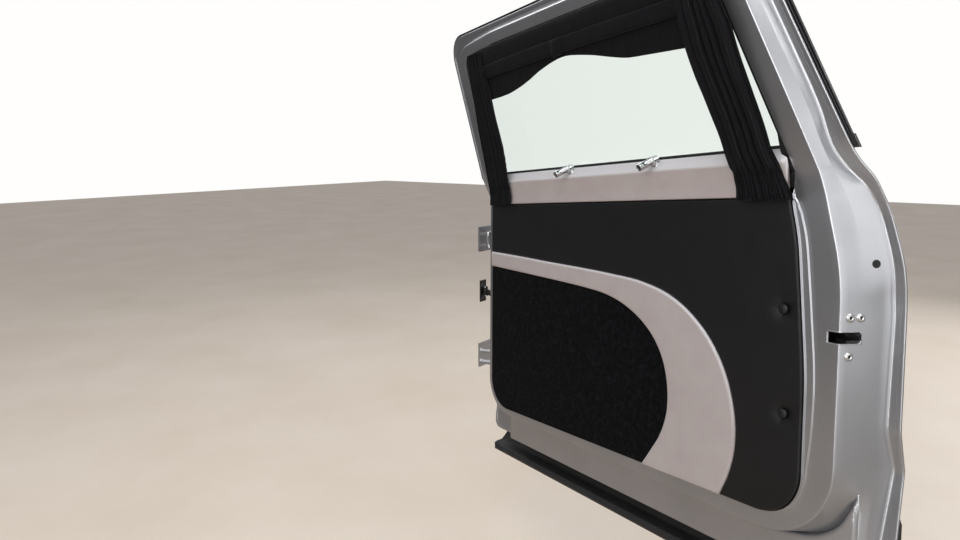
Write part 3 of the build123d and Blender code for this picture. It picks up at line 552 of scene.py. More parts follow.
def plate(name, line, depth, edge, back, place=face, draft=None, extra=(), crown=0.0):
    """Plate inside a closed 2-D line: its front at depth(x, s), a rounded edge, and a wall that
    runs back to the depth back(x, s). extra holds more points; crown is how far the edges fall."""
    line = thin_out(line)
    out = outward(line)
    if sum((a.x * b.y - b.x * a.y) for a, b in zip(line, line[1:] + line[:1])) > 0:
        out = [-n for n in out]
    rim = [p - n * edge * share for share in EDGE_STEPS for p, n in zip(line, out)]
    wanted = [edge * share for share in EDGE_STEPS for _ in line]
    reached = edge_distance(rim, line)
    points = line + [p for p, w, r in zip(rim, wanted, reached) if r > w * 0.97 and inside(p, line)]
    low_x, high_x = min(p.x for p in line), max(p.x for p in line)
    low_s, high_s = min(p.y for p in line), max(p.y for p in line)
    free = [Vector((low_x + (i + 0.5 * (j % 2)) * GRID, low_s + j * GRID))
            for j in range(int((high_s - low_s) / GRID) + 1) for i in range(int((high_x - low_x) / GRID) + 1)]
    free = [p for p in free if inside(p, line)]
    points += [p for p, r in zip(free, edge_distance(free, line)) if r > edge * 1.6 + GRID * 0.4]
    points += [Vector(p) for p in extra]
    border = [(i, (i + 1) % len(line)) for i in range(len(line))]
    flat, _, faces, _, _, _ = geometry.delaunay_2d_cdt(points, border, [list(range(len(line)))], 1, 1e-4)
    verts = []
    for p, r in zip(flat, edge_distance(flat, line)):
        t = 1.0 - min(1.0, r / edge)
        roll = edge * (1.0 - sqrt(max(0.0, 1.0 - t * t)))
        verts.append(place(p.x, p.y, depth(p.x, p.y) + roll + crown * exp(-r / 22.0)))
    at = {(round(p.x, 2), round(p.y, 2)): k for k, p in enumerate(flat)}
    start = len(verts)
    for p, n in zip(line, out):
        far_back = back(p.x, p.y)
        run = max(0.0, far_back - depth(p.x, p.y) - edge) * (draft(n) if draft else 0.0)
        verts.append(place(p.x + n.x * run, p.y + n.y * run, far_back))
    faces = [tuple(f) for f in faces]
    for i, p in enumerate(line):
        j = (i + 1) % len(line)
        a, b = at.get((round(p.x, 2), round(p.y, 2))), at.get((round(line[j].x, 2), round(line[j].y, 2)))
        if a is not None and b is not None:
            faces.append((a, start + i, start + j, b))
    obj = from_faces(name, verts, faces, False)
    set_faces(obj)
    face_away(obj.data)
    return obj


STEP_EDGE = 5.0
STEP_DRAFT = tan(radians(14.0))
HORN_EDGE = rear_wall(HORN_DEPTH + STEP_EDGE, 0.0).x
STEP_FOOT = -152.0
step_corners = ((-50.0, STEP_FOOT, 0), (HORN_EDGE, STEP_FOOT, 12.0), (HORN_EDGE, 0.0, 0))
step_line = round_line(step_corners, 10, (90, 14), False)
step_line += horn_rim + [Vector((-860.0, 40.0)), Vector((-50.0, 40.0))]
step = plate("sill_step", step_line, step_depth, STEP_EDGE, lambda x, z: -skin_y(z) - 0.6, upright,
             draft=lambda n: DRAFT * 0.99 if n.x < -0.7 else STEP_DRAFT)


# Finishes by slot. Colours are sRGB codes, and a pattern's scale comes from its real size.
LOOKS = {}


def tone(code):
    """Linear colour from an sRGB hex code."""
    shares = [int(code[i:i + 2], 16) / 255 for i in (1, 3, 5)]
    return (*(v / 12.92 if v <= 0.04045 else ((v + 0.055) / 1.055) ** 2.4 for v in shares), 1.0)


def every(size):
    """Texture scale of a pattern whose marks are size millimetres apart."""
    return 1.0 / (size * MM)


def join(tree, node, inputs):
    """Give a node's inputs their values, or link them where the value is an output."""
    for name, value in inputs.items():
        if isinstance(value, bpy.types.NodeSocket):
            tree.links.new(value, node.inputs[name])
        else:
            node.inputs[name].default_value = value


def add_node(tree, kind, inputs, out=0, stops=(), **settings):
    """Add a node with its settings, inputs and colour stops, and give one of its outputs."""
    node = tree.nodes.new("ShaderNode" + kind)
    for name, value in settings.items():
        setattr(node, name, value)
    join(tree, node, inputs)
    for k, (at, code) in enumerate(stops):
        element = node.color_ramp.elements[k] if k < 2 else node.color_ramp.elements.new(at)
        element.position = at
        element.color = tone(code)
    return node.outputs[out]


def new_finish(slot, name):
    """Material for a slot, with its node tree and the Object coordinates its patterns read."""
    LOOKS[slot] = bpy.data.materials.new(name)
    LOOKS[slot].use_nodes = True
    tree = LOOKS[slot].node_tree
    return tree, add_node(tree, "TexCoord", {}, "Object")


def surface(tree, **inputs):
    join(tree, tree.nodes["Principled BSDF"], {name.replace("_", " "): value for name, value in inputs.items()})


def dress(slot, *pieces):
    """Give pieces their finish and its slot."""
    for piece in pieces:
        piece.data.materials.clear()
        piece.data.materials.append(LOOKS[slot])


# Silver metallic paint: sprayed aluminium flake under clear coat. It gives the eye a soft, cool
# mirror with fine sparkle, slight clouding and a trace of orange peel.
tree, place = new_finish("paint", "silver_paint")
flake = add_node(tree, "TexVoronoi", {"Vector": place, "Scale": every(0.3846)})
cloud = add_node(tree, "TexNoise", {"Vector": place, "Scale": every(142.9), "Detail": 3.0})
mottle = add_node(tree, "Mix", {"Factor": 0.65, "A": flake, "B": cloud}, "Result")
grit = add_node(tree, "TexNoise", {"Vector": place, "Scale": every(1.111), "Detail": 1.0})
peel = add_node(tree, "TexNoise", {"Vector": place, "Scale": every(4.762), "Detail": 1.0})
surface(tree, Metallic=0.92, Coat_Weight=0.55, Coat_Roughness=0.09,
        Base_Color=add_node(tree, "ValToRGB", {"Fac": mottle}, stops=((0.25, "#b0b1b4"), (0.75, "#c2c3c7"))),
        Roughness=add_node(tree, "MapRange", {"Value": grit, "To Min": 0.28, "To Max": 0.35}),
        Normal=add_node(tree, "Bump", {"Height": peel, "Distance": 0.035 * MM}))
dress("paint", pressing, slot_lip, step)

# Outer skin, the outer panel of the window frame and the hem: pressed steel sheets in the same
# paint. The skin's edge is folded flat over the pressing's flange, and the fold is the hem.
FRAME_DEPTH = 40.0         # outer frame panel behind the trim plane
SKIN_T = 2.5
SPLIT = 548.0              # the skin's top edge
HEM_W = 9.0
HEM_T = 1.9
EDGE_IN = 2.5              # the skin's sheet stops here and the hem's fold takes over
SKIN_COLUMNS = 30
fold_line = [p - n * EDGE_IN for p, n in zip(edge_line, edge_out)]
skin_low = -162.0 + EDGE_IN + 0.02
skin_rows = [skin_low + d for d in (0.0, 0.4, 1.5, 3.5, 6.5, 10.5, 15.0, 20.0, 26.0)]
skin_rows += [p.y for p in section_line if skin_rows[-1] + 2.0 < p.y < SPLIT - 2.0] + [SPLIT]
skin = []
for z in skin_rows:
    ends = crossings(fold_line, z)
    rear, length = ends[0], ends[-1] - ends[0]
    skin.append([skin_point(rear + length * k / SKIN_COLUMNS, z, -SKIN_T) for k in range(SKIN_COLUMNS + 1)])
outer_skin = loft("skin_panel", skin, ring=False)
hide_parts("outer_skin")

hem_sections = []
for h, section in zip(edge_line, sections):
    inward = (section[-1] - skin_point(h.x, h.y)).normalized()
    top, low = skin_point(h.x, h.y, HEM_T), skin_point(h.x, h.y, -SKIN_T)
    end = skin_point(h.x, h.y, 0.2) + inward * HEM_W
    points = (low + inward * EDGE_IN, low, top, top + inward * HEM_W, end)
    hem_sections.append(rounded(points, (0, 1.9, 1.9, 0.9, 0), 4, 1, False))
hem = loft("door_hem", list(zip(*hem_sections)))

OUTER_OPENING = 6.0        # how far the outer panel reaches into the window opening
frame_rows = []
for h, n, w, m in zip(edge_line, edge_out, inner_line, inner_out):
    if h.y <= SPLIT - 8.0:
        continue
    rim = face(w.x - m.x * OUTER_OPENING, max(w.y - m.y * OUTER_OPENING, SPLIT - 1.0))
    rim_z = max(rim.z + FRAME_DEPTH * sin(LEAN), SPLIT)
    corners = (skin_point(h.x - n.x * EDGE_IN, max(h.y - n.y * EDGE_IN, SPLIT), -SKIN_T),
               skin_point(rim.x, rim_z, -SKIN_T), skin_point(rim.x, rim_z, 4.0))
    frame_rows.append(rounded(corners, (0, 2.0, 0), 4, 2, False))
outer_frame = weld(loft("frame_panel", list(zip(*frame_rows)), ring=False))
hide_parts("frame_outer")
dress("paint", outer_skin, hem, outer_frame)

# Trim: a board with black leather over thin foam, clipped on the pressing's bed. A grey leather
# crescent is set into it, round a carpet insert. Two sewn buttons draw the black leather in.
CRESCENT_OUTER = (
    (20.0, 380.0), (-140.0, 372.5), (-280.0, 364.5), (-400.0, 358.5), (-500.0, 352.0), (-600.0, 342.0),
    (-688.0, 317.0), (-762.0, 268.0), (-812.0, 204.0), (-839.0, 132.0), (-845.5, 66.0), (-834.0, 6.0),
    (-804.0, -62.0),
)
CRESCENT_INNER = (
    (20.0, 340.0), (-160.0, 329.5), (-304.0, 321.0), (-404.0, 314.0), (-481.0, 305.5), (-540.0, 290.0),
    (-595.0, 263.0), (-636.0, 229.0), (-664.0, 186.0), (-678.0, 132.0), (-677.0, 80.0), (-660.5, 31.0),
    (-636.0, -8.0), (-603.0, -56.0),
)
TRIM_FRONT = -6.0          # depths, in front of the trim plane
CRESCENT_FRONT = -9.0
CARPET_FRONT = -4.0
TRIM_BACK = 10.0
BUTTONS = ((-935.0, 323.0), (-941.0, 144.0))


def split(line, curve):
    """The two closed lines into which a curve cuts a closed line."""
    hits = []
    count = len(line)
    for c in range(len(curve) - 1):
        for i in range(count):
            cross = geometry.intersect_line_line_2d(curve[c], curve[c + 1], line[i], line[(i + 1) % count])
            if cross:
                hits.append((c, i, cross))
    (c0, i0, p0), (c1, i1, p1) = hits[0], hits[-1]
    middle = [p0] + curve[c0 + 1:c1 + 1] + [p1]
    one = [line[(i1 + 1 + k) % count] for k in range((i0 - i1) % count)]
    other = [line[(i0 + 1 + k) % count] for k in range((i1 - i0) % count)]
    return middle + one, middle[::-1] + other


def part_with(point, lines):
    return lines[0] if inside(Vector(point), lines[0]) else lines[1]


def board_back(x, s):
    return TRIM_BACK


outer_curve = smooth_curve(CRESCENT_OUTER, 14)
inner_curve = smooth_curve(CRESCENT_INNER, 14)
leather_line = part_with((-900.0, 420.0), split(trim_line, outer_curve))
lower_line = part_with((-300.0, 100.0), split(trim_line, outer_curve))
crescent_line = part_with((-760.0, 100.0), split(lower_line, inner_curve))
carpet_line = part_with((-300.0, 100.0), split(lower_line, inner_curve))


def leather_depth(x, s):
    """Front of the black leather, drawn in by its buttons and a little slack."""
    depth = 0.0
    for bx, bs in BUTTONS:
        dx, ds = x - bx, s - bs
        r = hypot(dx, ds)
        pucker = 1.0 + 0.22 * sin(5 * np.arctan2(ds, dx) + bx)
        depth += 4.6 * exp(-(r / 15.5) ** 2) + 1.7 * pucker * exp(-(r / 31.0) ** 2)
    return TRIM_FRONT + depth + noise.noise(Vector((x * 0.006, s * 0.006, 2.0))) * 0.5


def leather_finish(slot, name, low, high, roughness, depth):
    """Hide with creased grain cells, finer creases between them, and broad slack."""
    tree, place = new_finish(slot, name)
    blotch = add_node(tree, "TexNoise",
                      {"Vector": place, "Scale": every(62.5), "Detail": 4.0, "Roughness": 0.6})
    rubbed = add_node(tree, "TexNoise", {"Vector": place, "Scale": every(16.67), "Detail": 3.0})
    relief = {}
    for size, full, height in ((1.316, 0.22, depth), (0.5263, 0.3, depth * 0.4)):
        cell = add_node(tree, "TexVoronoi", {"Vector": place, "Scale": every(size)}, feature="DISTANCE_TO_EDGE")
        crease = add_node(tree, "ValToRGB", {"Fac": cell}, stops=((0.0, "#000000"), (full, "#ffffff")))
        relief = {"Normal": add_node(tree, "Bump", {"Height": crease, "Distance": height * MM, **relief})}
    slack = add_node(tree, "TexNoise", {"Vector": place, "Scale": every(22.22)})
    hide = add_node(tree, "ValToRGB", {"Fac": blotch}, stops=((0.3, low), (0.7, high)))
    polish = {"Value": rubbed, "To Min": roughness - 0.06, "To Max": roughness + 0.08}
    surface(tree, Base_Color=hide, Roughness=add_node(tree, "MapRange", polish),
            Normal=add_node(tree, "Bump", {"Height": slack, "Distance": 0.25 * MM, **relief}))
    return tree, hide


# Black leather: dyed hide with a matt finish. It looks nearly black, with a soft sheen broken
# by its grain.
around_buttons = [(bx + r * cos(a * pi / 12 + r), bs + r * sin(a * pi / 12 + r))
                  for bx, bs in BUTTONS for r in (4, 9, 12, 15.5, 19.5, 24, 29, 35) for a in range(24)]
leather = plate("trim_leather", leather_line, leather_depth, 4.0, board_back, extra=around_buttons, crown=1.0)
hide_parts("trim_panel")
tree, _ = leather_finish("leather_black", "black_leather", "#0c0d0f", "#111114", 0.36, 0.09)
surface(tree, Specular_IOR_Level=0.40)
dress("leather_black", leather)

# Grey crescent: softer leather over thicker foam. Its colour carries painted light from above: it is
# warm grey below and mixed to pale where it faces up, as a painted highlight.
crescent = plate("crescent_leather", crescent_line, lambda x, s: CRESCENT_FRONT, 4.5, board_back, crown=1.4)
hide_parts("crescent_trim")
tree, hide = leather_finish("leather_grey", "grey_leather", "#a39a99", "#a9a1a0", 0.50, 0.07)
# Painted light: where the surface faces up, the grey leather's colour is mixed towards pale.
facing = add_node(tree, "SeparateXYZ", {"Vector": add_node(tree, "TexCoord", {}, "Normal")}, "Z")
painted_top_light = add_node(tree, "ValToRGB", {"Fac": facing}, stops=((0.10, "#000000"), (0.68, "#ffffff")))
surface(tree, Base_Color=add_node(tree, "Mix", {"Factor": painted_top_light, "A": hide, "B": tone("#d0ced1")}, "Result",
                                  data_type="RGBA"))
dress("leather_grey", crescent)

# Carpet insert: tufted pile, cut short and glued to the board. The tufts hold the light, so it
# is the darkest part, with lighter clumps.
carpet = plate("carpet_insert_pile", carpet_line,
               lambda x, s: CARPET_FRONT + 0.5 * noise.noise(Vector((x * 0.01, s * 0.01, 7.0))), 3.0,
               board_back, crown=1.0)
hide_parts("carpet_insert")
tree, place = new_finish("carpet", "carpet_pile")
tufts = add_node(tree, "TexNoise", {"Vector": place, "Scale": every(1.5625), "Detail": 3.0, "Roughness": 0.7})
clumps = add_node(tree, "TexNoise", {"Vector": place, "Scale": every(11.11), "Detail": 4.0, "Roughness": 0.65})
fibres = add_node(tree, "TexNoise", {"Vector": place, "Scale": every(0.6667)})
nap = add_node(tree, "Mix", {"Factor": 0.45, "A": tufts, "B": clumps}, "Result")
relief = {}
for height, depth in ((tufts, 1.1), (clumps, 1.4), (fibres, 0.5)):
    relief = {"Normal": add_node(tree, "Bump", {"Height": height, "Distance": depth * MM, **relief})}
surface(tree, Roughness=0.95, Sheen_Weight=0.02, Sheen_Roughness=0.5, Specular_IOR_Level=0.05, **relief,
        Base_Color=add_node(tree, "ValToRGB", {"Fac": nap},
                            stops=((0.34, "#020202"), (0.52, "#08080b"), (0.68, "#212126"))))
dress("carpet", carpet)

# Trim buttons: domed shells with leather pressed over them, pulled into the trim by a cord.
BUTTON_DOME = ((-2.0, 8.2), (0.4, 8.8), (1.6, 9.0), (3.0, 8.5), (4.4, 7.0), (5.4, 4.6), (5.9, 2.2), (6.0, 0.0))
BUTTON_SUNK = 3.2


def revolved(name, profile, origin, axis, steps=32):
    """Solid of revolution from (distance along the axis, radius) points, its ends closed."""
    axis = Vector(axis).normalized()
    side = axis.orthogonal().normalized()
    bm = bmesh.new()
    line = [bm.verts.new(origin + axis * h + side * max(r, 0.01)) for h, r in profile]
    edges = [bm.edges.new(pair) for pair in zip(line, line[1:])]
    bmesh.ops.spin(bm, geom=line + edges, cent=origin, axis=axis, angle=2 * pi, steps=steps, use_merge=True)
    bm.transform(OPEN_DOOR)
    mesh = bpy.data.meshes.new(name)
    bm.to_mesh(mesh)
    bm.free()
    obj = door_piece(name, mesh)
    set_faces(obj, True)
    return obj


for (x, s), name in zip(BUTTONS, ("trim_button_upper", "trim_button_lower")):
    button = revolved(name + "_cap", BUTTON_DOME, face(x, s, TRIM_FRONT + BUTTON_SUNK), (0, 1, 0))
    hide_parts(name)
    dress("leather_black", button)

# Ledge under the window: a moulded board in the same grey leather, which hooks over the belt.
# The black rubber wiper along its outer edge wipes the glass.
LEDGE = (
    (-3.7, 512.5, 0.0), (8.0, 512.5, 3.0), (8.4, 533.0, 24.0), (6.4, 570.0, 9.0), (-21.0, 597.0, 2.5),
    (-22.0, 588.0, 0.0), (-3.7, 560.0, 0.0),
)
WIPER = ((-22.2, 588.0, 0), (-22.2, 598.6, 1), (-24.0, 600.4, 1.5), (-26.7, 600.8, 0.6), (-26.7, 588.0, 0))
LEDGE_REAR = -935.0
LEDGE_FRONT = 6.0


def leaned(y, z):
    return Vector((y + max(0.0, z - BELT) * tan(LEAN), z))


def opening_rear(z):
    return -952.0 + 0.3427 * (z - BELT) / cos(LEAN)


def bar(name, section, ends, count, wave=0.0):
    """Bar along X with a closed section of (y, z) points. ends gives each point its two X ends."""
    rows = []
    for k in range(count + 1):
        row = []
        for p in section:
            low, high = ends(p)
            x = low + (high - low) * k / count
            drift = wave * noise.noise(Vector((x * 0.012, p.x * 0.05, p.y * 0.05)))
            row.append(Vector((x, p.x + drift, p.y)))
        rows.append(row)
    obj = loft(name, rows, False)
    set_faces(obj, True)
    return obj


def ledge_ends(p):
    t = smooth_step((leaned(-4.0, p.y).x - p.x) / 6.0)
    return LEDGE_REAR + t * (opening_rear(p.y) + 18.0 - LEDGE_REAR), LEDGE_FRONT - t * 11.0


ledge_section = round_line([(*leaned(y, z), r) for y, z, r in LEDGE], 7, (2, 3, 5, 5, 1, 1, 2))
ledge = bar("ledge_leather", ledge_section, ledge_ends, 70, 0.5)
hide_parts("belt_ledge")
# Its upward faces take the grey leather's painted light from above.
dress("leather_grey", ledge)
wiper_section = round_line([(*leaned(y, z), r) for y, z, r in WIPER], 3, 1)
wiper = bar("glass_wiper", wiper_section, lambda p: (opening_rear(p.y) + 14.6, -4.6), 12)

# Rubber: black vulcanised rubber, moulded or extruded. It is dull, with a powdery grain.
tree, place = new_finish("rubber", "rubber")
bloom = add_node(tree, "TexNoise", {"Vector": place, "Scale": every(5.556), "Detail": 4.0})
powder = add_node(tree, "TexNoise", {"Vector": place, "Scale": every(0.7692), "Detail": 3.0})
surface(tree, Base_Color=tone("#19191a"),
        Normal=add_node(tree, "Bump", {"Height": powder, "Distance": 0.05 * MM}),
        Roughness=add_node(tree, "MapRange", {"Value": bloom, "To Min": 0.58, "To Max": 0.80}))
dress("rubber", wiper)

# Curtains: plain black cotton weave, gathered on the top rail and let down over the ledge. An
# elastic in the lower hem gathers it into ruffles.
CLOTH_T = 0.9
RAIL_GATHER = 70.0         # length under the rail with small tight pleats
ELASTIC_Z = 553.0
ROWS_DOWN = 120
PLACES_OVER = 150


def cloth(name, rows, thickness=CLOTH_T):
    """Sheet from rows of points from top to hem, given its thickness and a UV map in metres."""
    obj = loft(name, rows, ring=False)
    count = len(rows[0])
    layer = obj.data.uv_layers.new(name="weave")
    down = [0.0]
    for a, b in zip(rows, rows[1:]):
        down.append(down[-1] + (b[count // 2] - a[count // 2]).length)
    over = [0.0]
    for a, b in zip(rows[len(rows) // 2], rows[len(rows) // 2][1:]):
        over.append(over[-1] + (b - a).length)
    for loop in obj.data.loops:
        r, k = divmod(loop.vertex_index, count)
        layer.data[loop.index].uv = (over[k] * MM, down[r] * MM)
    thicken = obj.modifiers.new("Solidify", "SOLIDIFY")
    thicken.thickness = thickness * MM
    thicken.offset = 0.0
    thicken.use_rim = True
    return obj


def fold(u, count, seed):
    """Depth of the pleats from -1 in the creases to 1 on the ridges."""
    w = u * count + 0.30 * sin(2 * pi * (u * 1.7 + seed)) + 0.14 * sin(2 * pi * (u * 4.3 + seed * 2))
    return 2.0 * abs(sin(pi * w)) ** 0.8 - 1.0


def curtain(name, front, rear, top, low, pleats, seed):
    """Gathered curtain. front and rear are its sides as (z, x) points."""
    rows = []
    for r in range(ROWS_DOWN + 1):
        z = top + (low - top) * r / ROWS_DOWN
        at_top = smooth_step(1.0 - (top - z) / RAIL_GATHER)
        at_hem = smooth_step((566.0 - z) / 16.0)
        band = exp(-((z - ELASTIC_Z) / 4.0) ** 2)
        xf, xr = between(front, z), between(rear, z)
        row = []
        for k in range(PLACES_OVER + 1):
            u = k / PLACES_OVER
            sway = 0.05 * noise.noise(Vector((u * 2.5, z * 0.006, seed)))
            main = fold(u + sway, pleats, seed)
            fine = fold(u + 0.6 * sway, pleats * 2.3, seed + 0.37)
            shift = 0.02 * noise.noise(Vector((u * 9.0, z * 0.05, seed + 4)))
            ruffle = fold(u + shift, pleats * 2.6, seed + 0.61)
            depth = 7.2 * main * (1 - 0.75 * at_top) * (1 - 0.72 * at_hem)
            depth += 2.4 * fine * at_top + 0.8 * fine * (1 - at_hem)
            depth += at_hem * ruffle * (3.4 + 2.2 * smooth_step((530.0 - z) / 20.0)) - 3.0 * band
            depth += 1.4 * noise.noise(Vector((u * 5.0, z * 0.02, seed + 9)))
            edge = smooth_step(min(u, 1 - u) / 0.04)
            y = leaned(14.5, z).x + depth * (0.35 + 0.65 * edge)
            x = xf + (xr - xf) * u + 1.8 * sin(2 * pi * pleats * u) * (1 - at_hem) * edge
            hem_dip = at_hem * smooth_step((522.0 - z) / 10.0) * 1.8 * ruffle
            row.append(Vector((x, y, z + hem_dip)))
        rows.append(row)
    return cloth(name, rows)


rear_curtain = curtain("rear_curtain_cloth",
                       ((912, -752), (863, -760), (785, -768), (594, -826), (556, -836), (512, -841)),
                       ((912, -834), (880, -844), (845, -853), (790, -870), (598, -917), (556, -933),
                        (506, -953)),
                       912.0, 507.0, 5.5, 0.13)
front_curtain = curtain("front_curtain_cloth",
                        ((905, -27), (880, -14), (860, -10), (780, -12), (512, -7)),
                        ((905, -86), (840, -94), (656, -113), (512, -113)),
                        905.0, 509.0, 5.0, 0.58)
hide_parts("rear_curtain")
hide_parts("front_curtain")

# Black weave: spun cotton, warp over weft, with slubs along the warp. It is matt, with a faint
# sheen on the folds' sides. A wave has ten half turns of pi in one texture unit.
tree, _ = new_finish("curtain_cloth", "curtain_weave")
along = add_node(tree, "UVMap", {}, uv_map="weave")
threads = {"Vector": along, "Scale": every(0.748) * pi / 10, "Distortion": 0.6}
warp, weft = (add_node(tree, "TexWave", threads, "Fac", bands_direction=way) for way in "XY")
thread = add_node(tree, "Math", {0: warp, 1: weft}, operation="MULTIPLY")
drawn_out = add_node(tree, "Mapping", {"Vector": along, "Scale": (1.0, 0.22, 1.0)})
slub = add_node(tree, "TexNoise", {"Vector": drawn_out, "Scale": every(9.091), "Detail": 4.0, "Roughness": 0.6})
yarn = add_node(tree, "Mix", {"Factor": 0.6, "A": thread, "B": slub}, "Result")
relief = add_node(tree, "Bump", {"Height": thread, "Distance": 0.12 * MM})
surface(tree, Roughness=0.82, Sheen_Weight=0.13, Sheen_Roughness=0.30, Specular_IOR_Level=0.17,
        Base_Color=add_node(tree, "ValToRGB", {"Fac": yarn}, stops=((0.2, "#060609"), (0.75, "#141418"))),
        Normal=add_node(tree, "Bump", {"Height": slub, "Distance": 0.10 * MM, "Normal": relief}))
dress("curtain_cloth", rear_curtain, front_curtain)

# Header: one strip of the same cloth along the top of the window. It hangs over the rail and is
# folded under into a lower band. The curtains come out from under it.
HEADER = (
    (918.0, -3.0), (915.5, 2.0), (911.0, 5.0), (902.0, 6.8), (888.0, 7.6), (876.0, 8.0), (873.2, 7.4),
    (872.0, 5.4), (872.6, 6.4), (872.2, 8.6), (870.0, 9.8), (865.0, 10.6), (857.0, 11.0), (850.0, 11.2),
    (845.5, 11.6), (842.6, 11.4), (841.0, 10.0), (840.6, 8.0), (841.6, 6.0), (845.0, 5.0), (852.0, 4.6),
)
HEADER_GAP = 1.2


def lean_point(x, z, y):
    """Point at height z that is y inboard of the leaning window frame."""
    return Vector((x, *leaned(y, z)))


header_rows = []
for z, y in HEADER:
    sides = crossings(inner_line, up_face(min(z, 916.0), -METAL))
    front = min(sides[-1] - HEADER_GAP, -11.0 + 0.62 * max(0.0, z - 872.0))
    rear = sides[0] + HEADER_GAP
    row = []
    for k in range(181):
        x = front + (rear - front) * k / 180
        sag = 2.2 * exp(-((x + 60.0) / 90.0) ** 2) - 2.0 * sin(pi * min(1.0, max(0.0, (-x - 60.0) / 700.0)))
        loose = 1.0 if 842.0 < z < 910.0 else 0.4
        drift = 0.8 * noise.noise(Vector((x * 0.02, z * 0.03, 1.0)))
        drift += 0.5 * noise.noise(Vector((x * 0.09, z * 0.02, 5.0)))
        row.append(lean_point(x, z - sag * (1 if z < 900 else 0.2), y + loose * drift))
    header_rows.append(row)
header = cloth("header_cloth", header_rows)
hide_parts("curtain_header")
dress("curtain_cloth", header)

# Valance: a single layer of thinner cloth, sewn behind the header's band. It hangs flat, and its
# hem is turned back and rises in an arch.
VALANCE_HEM = (
    (-40, 784), (-81, 786), (-130, 787), (-175, 790), (-222, 798), (-268, 808), (-320, 822), (-368, 832),
    (-400, 835), (-434, 833), (-504, 820), (-560, 806), (-606, 796), (-669, 791), (-756, 785), (-790, 783),
)
VALANCE_TOP = 852.0
VALANCE_T = 0.7
VALANCE_L = 740.0
ROWS_TO_HEM = 24
ROWS_BACK = 5.0


def hem_height(x):
    """Catmull-Rom line through the hem's points."""
    table = sorted(VALANCE_HEM)
    for i in range(len(table) - 1):
        (x1, z1), (x2, z2) = table[i], table[i + 1]
        if x <= x2:
            x0, z0 = table[max(i - 1, 0)]
            x3, z3 = table[min(i + 2, len(table) - 1)]
            m1 = (z2 - z0) / (x2 - x0) * (x2 - x1)
            m2 = (z3 - z1) / (x3 - x1) * (x2 - x1)
            return hermite(z1, z2, m1, m2, (x - x1) / (x2 - x1))
    return table[-1][1]


valance_rows = []
for r in range(ROWS_TO_HEM + 6):
    t = min(1.0, r / ROWS_TO_HEM)
    row = []
    for k in range(201):
        x = -40.0 - VALANCE_L * k / 200
        z = VALANCE_TOP + (hem_height(x) - VALANCE_TOP) * t
        y = 2.4 + 1.6 * noise.noise(Vector((x * 0.012, t * 1.2, 3.0))) * (0.3 + t)
        y += 0.6 * noise.noise(Vector((x * 0.05, t * 2.0, 8.0)))
        if r > ROWS_TO_HEM:
            turn_back = (r - ROWS_TO_HEM) / ROWS_BACK
            y -= 1.5 * sin(turn_back * pi / 2)
            z += 9.0 * turn_back ** 2 - 0.3
        elif t > 0.86:
            y += 0.5 * smooth_step((t - 0.86) / 0.04)
        row.append(lean_point(x, z, y))
    valance_rows.append(row)
valance = cloth("valance_cloth", valance_rows, VALANCE_T)
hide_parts("curtain_valance")
dress("curtain_cloth", valance)

# Strap: a short loop of doubled cloth, sewn over the header's band at the middle of the arch,
# with a seam along each side.
STRAP_X = (-381.0, -415.0)
STRAP_T = 1.2
STRAP = (
    (875.0, 7.8), (874.0, 9.6), (871.5, 11.2), (866.0, 12.2), (857.0, 12.6), (848.0, 12.9), (843.0, 13.0),
    (840.0, 11.4), (839.0, 8.0), (841.0, 5.5), (848.0, 4.0),
)
strap_rows = []
for z, y in STRAP:
    row = []
    for k in range(25):
        u = k / 24
        x = STRAP_X[0] + (STRAP_X[1] - STRAP_X[0]) * u
        seam = exp(-((u - 0.14) / 0.03) ** 2) + exp(-((u - 0.86) / 0.03) ** 2)
        row.append(lean_point(x, z + 1.6 * (u - 0.5), y + 0.9 * sin(pi * u) - 0.9 * seam))
    strap_rows.append(row)
strap = cloth("strap_cloth", strap_rows, STRAP_T)
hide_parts("valance_strap")
dress("curtain_cloth", strap)

# Sill cladding: one injection moulding, clipped on outside the skin. Its thin wall ends in a
# thick round lip that stands in under the door, and the lip's ends are round in plan.
CLADDING = (
    (-97.5, -8.0, 0.0), (-104.0, -19.0, 6.0), (-104.0, -188.0, 10.0), (-91.0, -222.0, 9.0),
    (-52.0, -222.0, 5.0), (-46.0, -212.0, 4.0), (-51.0, -202.0, 5.0), (-80.0, -197.0, 12.0),
    (-99.0, -177.0, 8.0), (-100.5, -40.0, 3.0),
)
CLADDING_X = (-1089.0, 70.0)
LIP_ROUND = 17.0


def cladding_ends(p):
    out = min(1.0, max(0.0, p.x + 46.0 + LIP_ROUND) / LIP_ROUND)
    back = LIP_ROUND * (1.0 - sqrt(1.0 - out * out))
    return CLADDING_X[0] + back, CLADDING_X[1] - back


cladding = bar("sill_lip", round_line(CLADDING, 6, (2, 6, 3, 6, 1, 1, 4, 3, 5, 2)), cladding_ends, 60)
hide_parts("sill_cladding")

# Black plastic: unpainted polypropylene with an etched grain from its mould. It is dark grey to
# the eye and evenly dull, with patches where it is worn.
tree, place = new_finish("black_plastic", "black_plastic")
etched = add_node(tree, "TexVoronoi", {"Vector": place, "Scale": every(0.9091)}, feature="DISTANCE_TO_EDGE")
grain = add_node(tree, "ValToRGB", {"Fac": etched}, stops=((0.0, "#000000"), (0.25, "#ffffff")))
worn = add_node(tree, "TexNoise", {"Vector": place, "Scale": every(33.33), "Detail": 4.0})
dull = add_node(tree, "TexNoise", {"Vector": place, "Scale": every(4.545), "Detail": 3.0})
surface(tree, Normal=add_node(tree, "Bump", {"Height": grain, "Distance": 0.07 * MM}),
        Base_Color=add_node(tree, "ValToRGB", {"Fac": worn}, stops=((0.3, "#1c1c1c"), (0.7, "#232323"))),
        Roughness=add_node(tree, "MapRange", {"Value": dull, "To Min": 0.44, "To Max": 0.62}))
dress("black_plastic", cladding)
